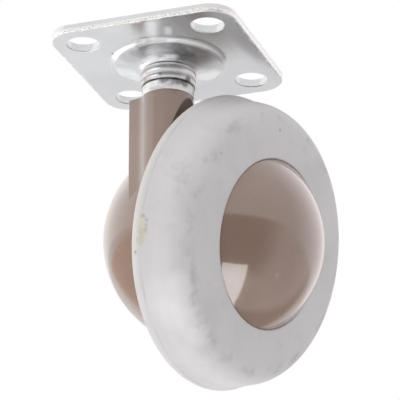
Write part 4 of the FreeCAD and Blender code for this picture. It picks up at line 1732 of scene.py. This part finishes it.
@dataclass
class Studio:
    """White surroundings, soft lamps, a pale floor far below and the camera that looks up.

    The camera's turns are in degrees, its shifts and distance in millimetres, the floor in metres.
    """

    focal_pixels: float = 2600.0
    image_width: float = 400.0
    sensor: float = 36.0
    yaw: float = 20.309
    rise: float = 22.777
    roll: float = 0.628
    shift_right: float = -6.789
    shift_up: float = 31.41
    distance: float = 562.95
    ambient: float = 0.82
    zones: tuple[RoomZone, ...] = (
        RoomZone((-42.0, -28.0), (105.0, 62.0), (-62.0, -40.0), (12.0, 8.5), (0.18, 0.18, 0.18)),
        RoomZone((-126.0, -117.0), (-28.0, -42.0), (-62.0, -40.0), (8.2, 5.5),
                 (0.82, 0.615, 0.525)),
        RoomZone((-181.0, -180.0), (-122.0, -136.0), (-5.0, 8.0), (60.0, 45.0), (0.84, 0.82, 0.81)),
        RoomZone((80.0, 110.0), (180.0, 177.0), (-88.0, -80.0), (8.0, -2.0), (0.94, 0.85, 0.83)),
        RoomZone((140.0, 160.0), (180.0, 177.0), (-88.0, -80.0), (-19.3, -36.9), (0.42, 0.35, 0.33),
                 lean=0.9),
        RoomZone((104.0, 140.0), (180.0, 177.0), (-5.0, 5.0), (65.0, 45.0), (1.27, 1.21, 1.23)),
    )
    floor_level: float = -0.72
    floor_size: float = 6.0
    floor_colour: Colour = (0.85, 0.85, 0.85)
    floor_shade: Colour = (0.8245, 0.8245, 0.8245)
    floor_glow: Colour = (0.3, 0.3, 0.3)
    lamp_target: Point = (0.015, 0.01, -0.04)

    def camera(self) -> None:
        """Set the camera: right, up and forward come from yaw, rise and roll, in that order."""
        yaw, rise, roll = (math.radians(angle) for angle in (self.yaw, self.rise, self.roll))
        level = np.array([math.cos(yaw), math.sin(yaw), 0.0])
        ahead = np.array([-math.sin(yaw), math.cos(yaw), 0.0])
        zenith = np.array([0.0, 0.0, 1.0])
        forward = math.cos(rise) * ahead + math.sin(rise) * zenith
        upright = math.cos(rise) * zenith - math.sin(rise) * ahead
        right = math.cos(roll) * level + math.sin(roll) * upright
        up = math.cos(roll) * upright - math.sin(roll) * level
        place = -(self.shift_right * right + self.shift_up * up + self.distance * forward) * MM
        data = bpy.data.cameras.new("photo_camera")
        data.sensor_width = self.sensor
        data.lens = self.sensor * self.focal_pixels / self.image_width
        holder = bpy.data.objects.new("photo_camera", data)
        holder.matrix_world = Matrix(np.vstack([
            np.column_stack([right, up, -forward, place]), [0.0, 0.0, 0.0, 1.0]]))
        bpy.context.scene.collection.objects.link(holder)
        bpy.context.scene.camera = holder

    def surroundings(self) -> None:
        """White for what is seen directly, an even light for matte surfaces, a room for mirrors.

        The mirrored room is white with zones of another tone, by bearing atan2(x, -y), where 0 is
        the front, and by the direction's height z.
        """
        world = bpy.data.worlds.new("studio")
        world.use_nodes = True
        bpy.context.scene.world = world
        graph = Graph(world.node_tree)
        path = graph.node("ShaderNodeLightPath")
        seen, glossy, through = (graph.value(path.outputs[label]) for label in (
            "Is Camera Ray", "Is Glossy Ray", "Is Transmission Ray"))
        gaze = graph.node("ShaderNodeTexCoord").outputs["Generated"]
        split = graph.node("ShaderNodeSeparateXYZ", None, {0: gaze})
        x, y, z = (graph.value(split.outputs[axis]) for axis in range(3))
        bearing = x.maths("ARCTAN2", x, 0.0 - y)
        mirrored = glossy.larger(through)
        room = white = (1.0, 1.0, 1.0)
        for zone in self.zones:
            room = graph.tint(zone.cover(graph, bearing, x, z), room, zone.colour)
        light = graph.tint(mirrored, (self.ambient,) * 3, room)
        light = graph.tint(seen, light, white)
        backdrop = graph.node("ShaderNodeBackground", None, {"Color": light, "Strength": 1.0})
        graph.node("ShaderNodeOutputWorld", None, {"Surface": backdrop.outputs[0]})

    def floor(self) -> None:
        """A pale floor, well below the camera, that glows to white where it is seen directly."""
        half = self.floor_size / 2
        line = np.linspace(-half, half, 3) / MM
        grid = np.stack(np.meshgrid(line, line, indexing="ij"), axis=-1)
        level = Patch(np.insert(grid, 2, self.floor_level / MM, axis=-1), wraps_columns=False)
        piece = solid("studio_floor", [level])
        mix = Recipe("floor_paper")
        shade = mix.tint(mix.noise(3.0), self.floor_colour, self.floor_shade)
        seen = mix.value(mix.node("ShaderNodeLightPath").outputs["Is Camera Ray"])
        glow = mix.tint(seen, (0.0, 0.0, 0.0), self.floor_glow)
        dress(piece, mix.finish(
            Base_Color=shade,
            Roughness=0.9,
            Emission_Color=glow,
            Emission_Strength=1.0,
        ))
        piece.visible_glossy = False

    def build(self, lamps: Sequence[Softbox]) -> None:
        """Set up view, surroundings, floor, lamps and camera.

        Args:
            lamps: the soft lamps.
        """
        bpy.context.scene.view_settings.view_transform = "Standard"
        self.surroundings()
        self.floor()
        for lamp in lamps:
            lamp.build(self.lamp_target)
        self.camera()


# Marks of use where the photo shows them, and painted light where a table's comment says so; places
# are on the piece as it stands at rest
DOME_STAINS = (
    StainOrPaintedLight((26.6, 9.41, -44.82), 1.5, (0.19, 0.14, 0.065), 0.6),
    StainOrPaintedLight((26.82, 10.76, -45.47), 1.0, (0.19, 0.14, 0.065), 0.5),
    StainOrPaintedLight((22.2, 7.34, -51.11), 0.7, (0.36, 0.28, 0.24), 0.35),
    StainOrPaintedLight((23.29, 8.21, -26.56), 0.45, (0.1, 0.075, 0.065), 0.6),
)
HOOD_STAINS = (
    StainOrPaintedLight((-11.15, 0.99, -43.66), 0.5, (0.3, 0.26, 0.18), 0.5),
    StainOrPaintedLight((-9.38, -1.15, -34.18), 0.3, (0.4, 0.34, 0.3), 0.4),
)
# Painted reflections on the boss: grey spots are painted dark reflections and white ones painted
# highlights; the last is a small dark spot at its left end.
BOSS_PAINTED_REFLECTIONS = (
    StainOrPaintedLight((5.48, -6.31, -3.32), 2.6, (0.14, 0.14, 0.15), 0.7),
    StainOrPaintedLight((6.25, -4.7, -3.4), 2.0, (0.14, 0.14, 0.15), 0.7),
    StainOrPaintedLight((4.95, -8.55, -3.08), 2.2, (0.2, 0.2, 0.21), 0.5),
    StainOrPaintedLight((0.23, -11.2, -2.75), 2.2, (0.28, 0.28, 0.29), 0.45),
    StainOrPaintedLight((2.41, -11.0, -2.75), 2.0, (0.28, 0.28, 0.29), 0.4),
    StainOrPaintedLight((-3.6, -8.6, -3.2), 2.4, (0.28, 0.28, 0.29), 0.5),
    StainOrPaintedLight((-2.1, -11.0, -2.87), 1.7, (0.28, 0.28, 0.29), 0.55),
    StainOrPaintedLight((-6.2, -7.7, -3.05), 3.0, (0.42, 0.42, 0.43), 0.5),
    StainOrPaintedLight((8.7, -2.1, -3.2), 2.4, (0.4, 0.4, 0.41), 0.5),
    StainOrPaintedLight((-9.4, -0.7, -3.1), 3.0, PAINTED_HIGHLIGHT_WHITE, 0.5),
    StainOrPaintedLight((-8.1, 2.0, -3.33), 2.8, PAINTED_HIGHLIGHT_WHITE, 0.5),
    StainOrPaintedLight((7.0, 6.4, -3.15), 3.6, PAINTED_HIGHLIGHT_WHITE, 0.8),
    StainOrPaintedLight((-9.66, -8.14, -2.01), 0.6, (0.25, 0.25, 0.26), 0.6),
)
# Painted highlights: pale lines on the boss's neck and on the plate's underside in front of it,
# where bright parts of the collar are mirrored.
BOSS_PAINTED_HIGHLIGHTS = (
    *painted_highlight_streak((1.7, -6.55, -3.75), (3.8, -5.7, -3.7), 4, 1.1, 0.35),
    *painted_highlight_streak((-0.8, -6.8, -3.68), (-2.9, -5.8, -3.97), 4, 1.2, 0.35),
    *painted_highlight_streak((3.4, -19.3, -1.85), (1.3, -13.2, -1.85), 10, 1.5, 0.17),
    *painted_highlight_streak((5.8, -15.8, -1.85), (4.8, -12.9, -1.85), 6, 1.2, 0.17),
)
# Painted dark reflections on the collar's lower bead and lip.
COLLAR_PAINTED_REFLECTIONS = (
    StainOrPaintedLight((5.43, -2.31, -7.9), 1.3, (0.07, 0.065, 0.06), 0.75),
    StainOrPaintedLight((0.37, -5.89, -7.2), 0.5, (0.09, 0.08, 0.075), 0.5),
    StainOrPaintedLight((-3.49, -4.75, -7.85), 0.6, (0.1, 0.09, 0.09), 0.5),
)
# Painted shade and dark reflection on the bush's flange, under the collar's lower lip.
BUSH_PAINTED_SHADE = (
    StainOrPaintedLight((0.98, -5.56, -8.5), 1.05, (0.2, 0.18, 0.19), 0.75),
    StainOrPaintedLight((2.0, -5.28, -8.35), 0.7, (0.2, 0.18, 0.19), 0.7),
    StainOrPaintedLight((3.16, -4.68, -8.6), 1.15, (0.2, 0.18, 0.19), 0.7),
    StainOrPaintedLight((4.13, -3.85, -8.6), 1.15, (0.17, 0.15, 0.15), 0.75),
    StainOrPaintedLight((4.89, -2.83, -8.7), 1.3, (0.15, 0.13, 0.13), 0.8),
)
TYRE_STAINS = (
    StainOrPaintedLight((0.35, -14.05, -43.3), 0.6, (0.44, 0.41, 0.34), 0.75),
    StainOrPaintedLight((0.95, -13.85, -44.1), 0.55, (0.44, 0.41, 0.33), 0.75),
    StainOrPaintedLight((0.8, -13.55, -45.2), 0.6, (0.44, 0.41, 0.33), 0.75),
    StainOrPaintedLight((0.5, -13.35, -46.0), 0.6, (0.46, 0.43, 0.35), 0.7),
    StainOrPaintedLight((0.1, -13.85, -44.2), 0.9, (0.64, 0.59, 0.46), 0.85),
    StainOrPaintedLight((0.0, -13.55, -45.2), 0.95, (0.62, 0.57, 0.44), 0.85),
    StainOrPaintedLight((-0.3, -13.15, -46.7), 1.0, (0.57, 0.52, 0.41), 0.8),
    StainOrPaintedLight((-0.8, -12.7, -48.0), 1.1, (0.58, 0.53, 0.43), 0.7),
    StainOrPaintedLight((-2.21, -11.63, -49.99), 0.5, (0.34, 0.31, 0.27), 0.7),
    StainOrPaintedLight((8.52, -14.5, -34.75), 3.0, (0.43, 0.41, 0.42), 0.32, 0.7),
    StainOrPaintedLight((8.2, -14.7, -38.2), 2.0, (0.43, 0.41, 0.42), 0.28, 0.7),
    StainOrPaintedLight((10.15, -12.66, -43.8), 1.8, (0.41, 0.39, 0.4), 0.35, 0.7),
    StainOrPaintedLight((9.16, -10.96, -49.64), 2.2, (0.43, 0.41, 0.42), 0.25, 0.7),
    StainOrPaintedLight((8.43, -4.53, -59.26), 2.0, (0.45, 0.42, 0.42), 0.28, 0.7),
    StainOrPaintedLight((8.55, 0.06, -63.14), 1.8, (0.45, 0.42, 0.42), 0.28, 0.7),
    StainOrPaintedLight((9.51, 9.1, -67.43), 2.2, (0.44, 0.41, 0.41), 0.25, 0.7),
    StainOrPaintedLight((14.64, -10.37, -30.07), 1.5, (0.42, 0.4, 0.4), 0.4, 0.7),
    StainOrPaintedLight((15.44, -8.94, -29.14), 0.45, (0.3, 0.28, 0.28), 0.7),
    StainOrPaintedLight((22.77, 7.78, -17.81), 0.4, (0.3, 0.29, 0.28), 0.7),
)
# Painted light: pale patches on the lower tread, where the light from below falls.
TYRE_PAINTED_LIGHT = (
    StainOrPaintedLight((1.4, -7.0, -58.2), 5.0, (0.74, 0.73, 0.745), 0.45),
    StainOrPaintedLight((2.2, -4.0, -61.3), 4.5, (0.74, 0.73, 0.745), 0.45),
    StainOrPaintedLight((6.3, -8.4, -56.8), 3.2, (0.78, 0.77, 0.785), 0.5),
    StainOrPaintedLight((6.6, -5.1, -60.3), 3.8, (0.78, 0.77, 0.785), 0.5),
    StainOrPaintedLight((6.6, -1.9, -63.0), 3.8, (0.78, 0.77, 0.785), 0.45),
    StainOrPaintedLight((7.3, 1.1, -64.8), 3.4, (0.78, 0.77, 0.785), 0.45),
)


def main() -> None:
    """Build the caster piece by piece, then the studio round it."""
    logging.basicConfig(level=logging.INFO, format="%(name)s: %(message)s")
    TopPlate().build(Zinc(stains_and_painted_light=BOSS_PAINTED_REFLECTIONS, painted_highlights=BOSS_PAINTED_HIGHLIGHTS))
    SwivelStack().build(
        TurnedSteel(
            seams=((-4.5, 0.9), (-8.1, 0.9)),
            painted_dark_reflection_bands=((-5.4, 0.6), (-7.05, 0.55)),
            painted_highlight_bands=((-4.75, 0.35), (-6.28, 0.6), (-7.72, 0.32)),
            stains_and_painted_light=COLLAR_PAINTED_REFLECTIONS,
        ),
        TurnedSteel((0.87, 0.86, 0.85), seams=((-8.2, 0.9),), bright_share=0.4, stains_and_painted_light=BUSH_PAINTED_SHADE),
        PlainMetal((0.5, 0.5, 0.51), (0.36, 0.36, 0.37)),
    )
    HornHood().build(Enamel(stains_and_painted_light=HOOD_STAINS))
    BallWheel().build(Enamel(stains_and_painted_light=DOME_STAINS), Rubber(stains_and_painted_light=TYRE_STAINS, pale=TYRE_PAINTED_LIGHT))
    HiddenFittings().build(
        PlainMetal((0.45, 0.45, 0.46), (0.3, 0.3, 0.3)),
        PlainMetal((0.5, 0.34, 0.17), (0.34, 0.22, 0.1), roughness=0.4),
    )
    Studio().build((
        Softbox(
            "low_front_box", (0.467, -0.266, -0.5), (-0.242, -0.275, -0.091), (-0.415, 0.364, 0.0),
            radiance=2.6, is_lighting=False, only=("wheel_dome_casting", "horn_hood_casting"),
        ),
        Softbox(
            "low_left_glow",
            (-0.807, 0.645, -0.507), (0.707, -1.3305, 0.0), (-0.194, -0.103, 0.338),
            radiance=1.3, tint=(0.84, 0.97, 1.0), is_lighting=False,
            only=("plate_pressing", "collar_turning", "swivel_bush_turning"),
        ),
        Softbox(
            "under_glow", (-0.2, -0.3, -0.62), (0.4, 0.0, 0.0), (0.0, 0.4, 0.0),
            radiance=0.4, is_lighting=False, only=("plate_pressing", "collar_turning"),
        ),
        Softbox(
            "left_box", (-0.942, 1.689, 0.234), (-0.521, -2.955, 0.0), (0.28, -0.049, 0.584),
            radiance=0.26,
        ),
        Softbox(
            "low_left_fill", (-0.0685, 0.26, -0.685), (0.0, -0.5, 0.0), (-0.433, 0.0, 0.25),
            radiance=1.6, is_mirrored=False,
        ),
        Softbox(
            "high_front_fill", (-0.476, -0.855, 0.329), (0.483, -0.13, 0.0), (0.0745, 0.277, 0.41),
            radiance=2.2, is_mirrored=False,
        ),
    ))


if __name__ == "__main__":
    main()
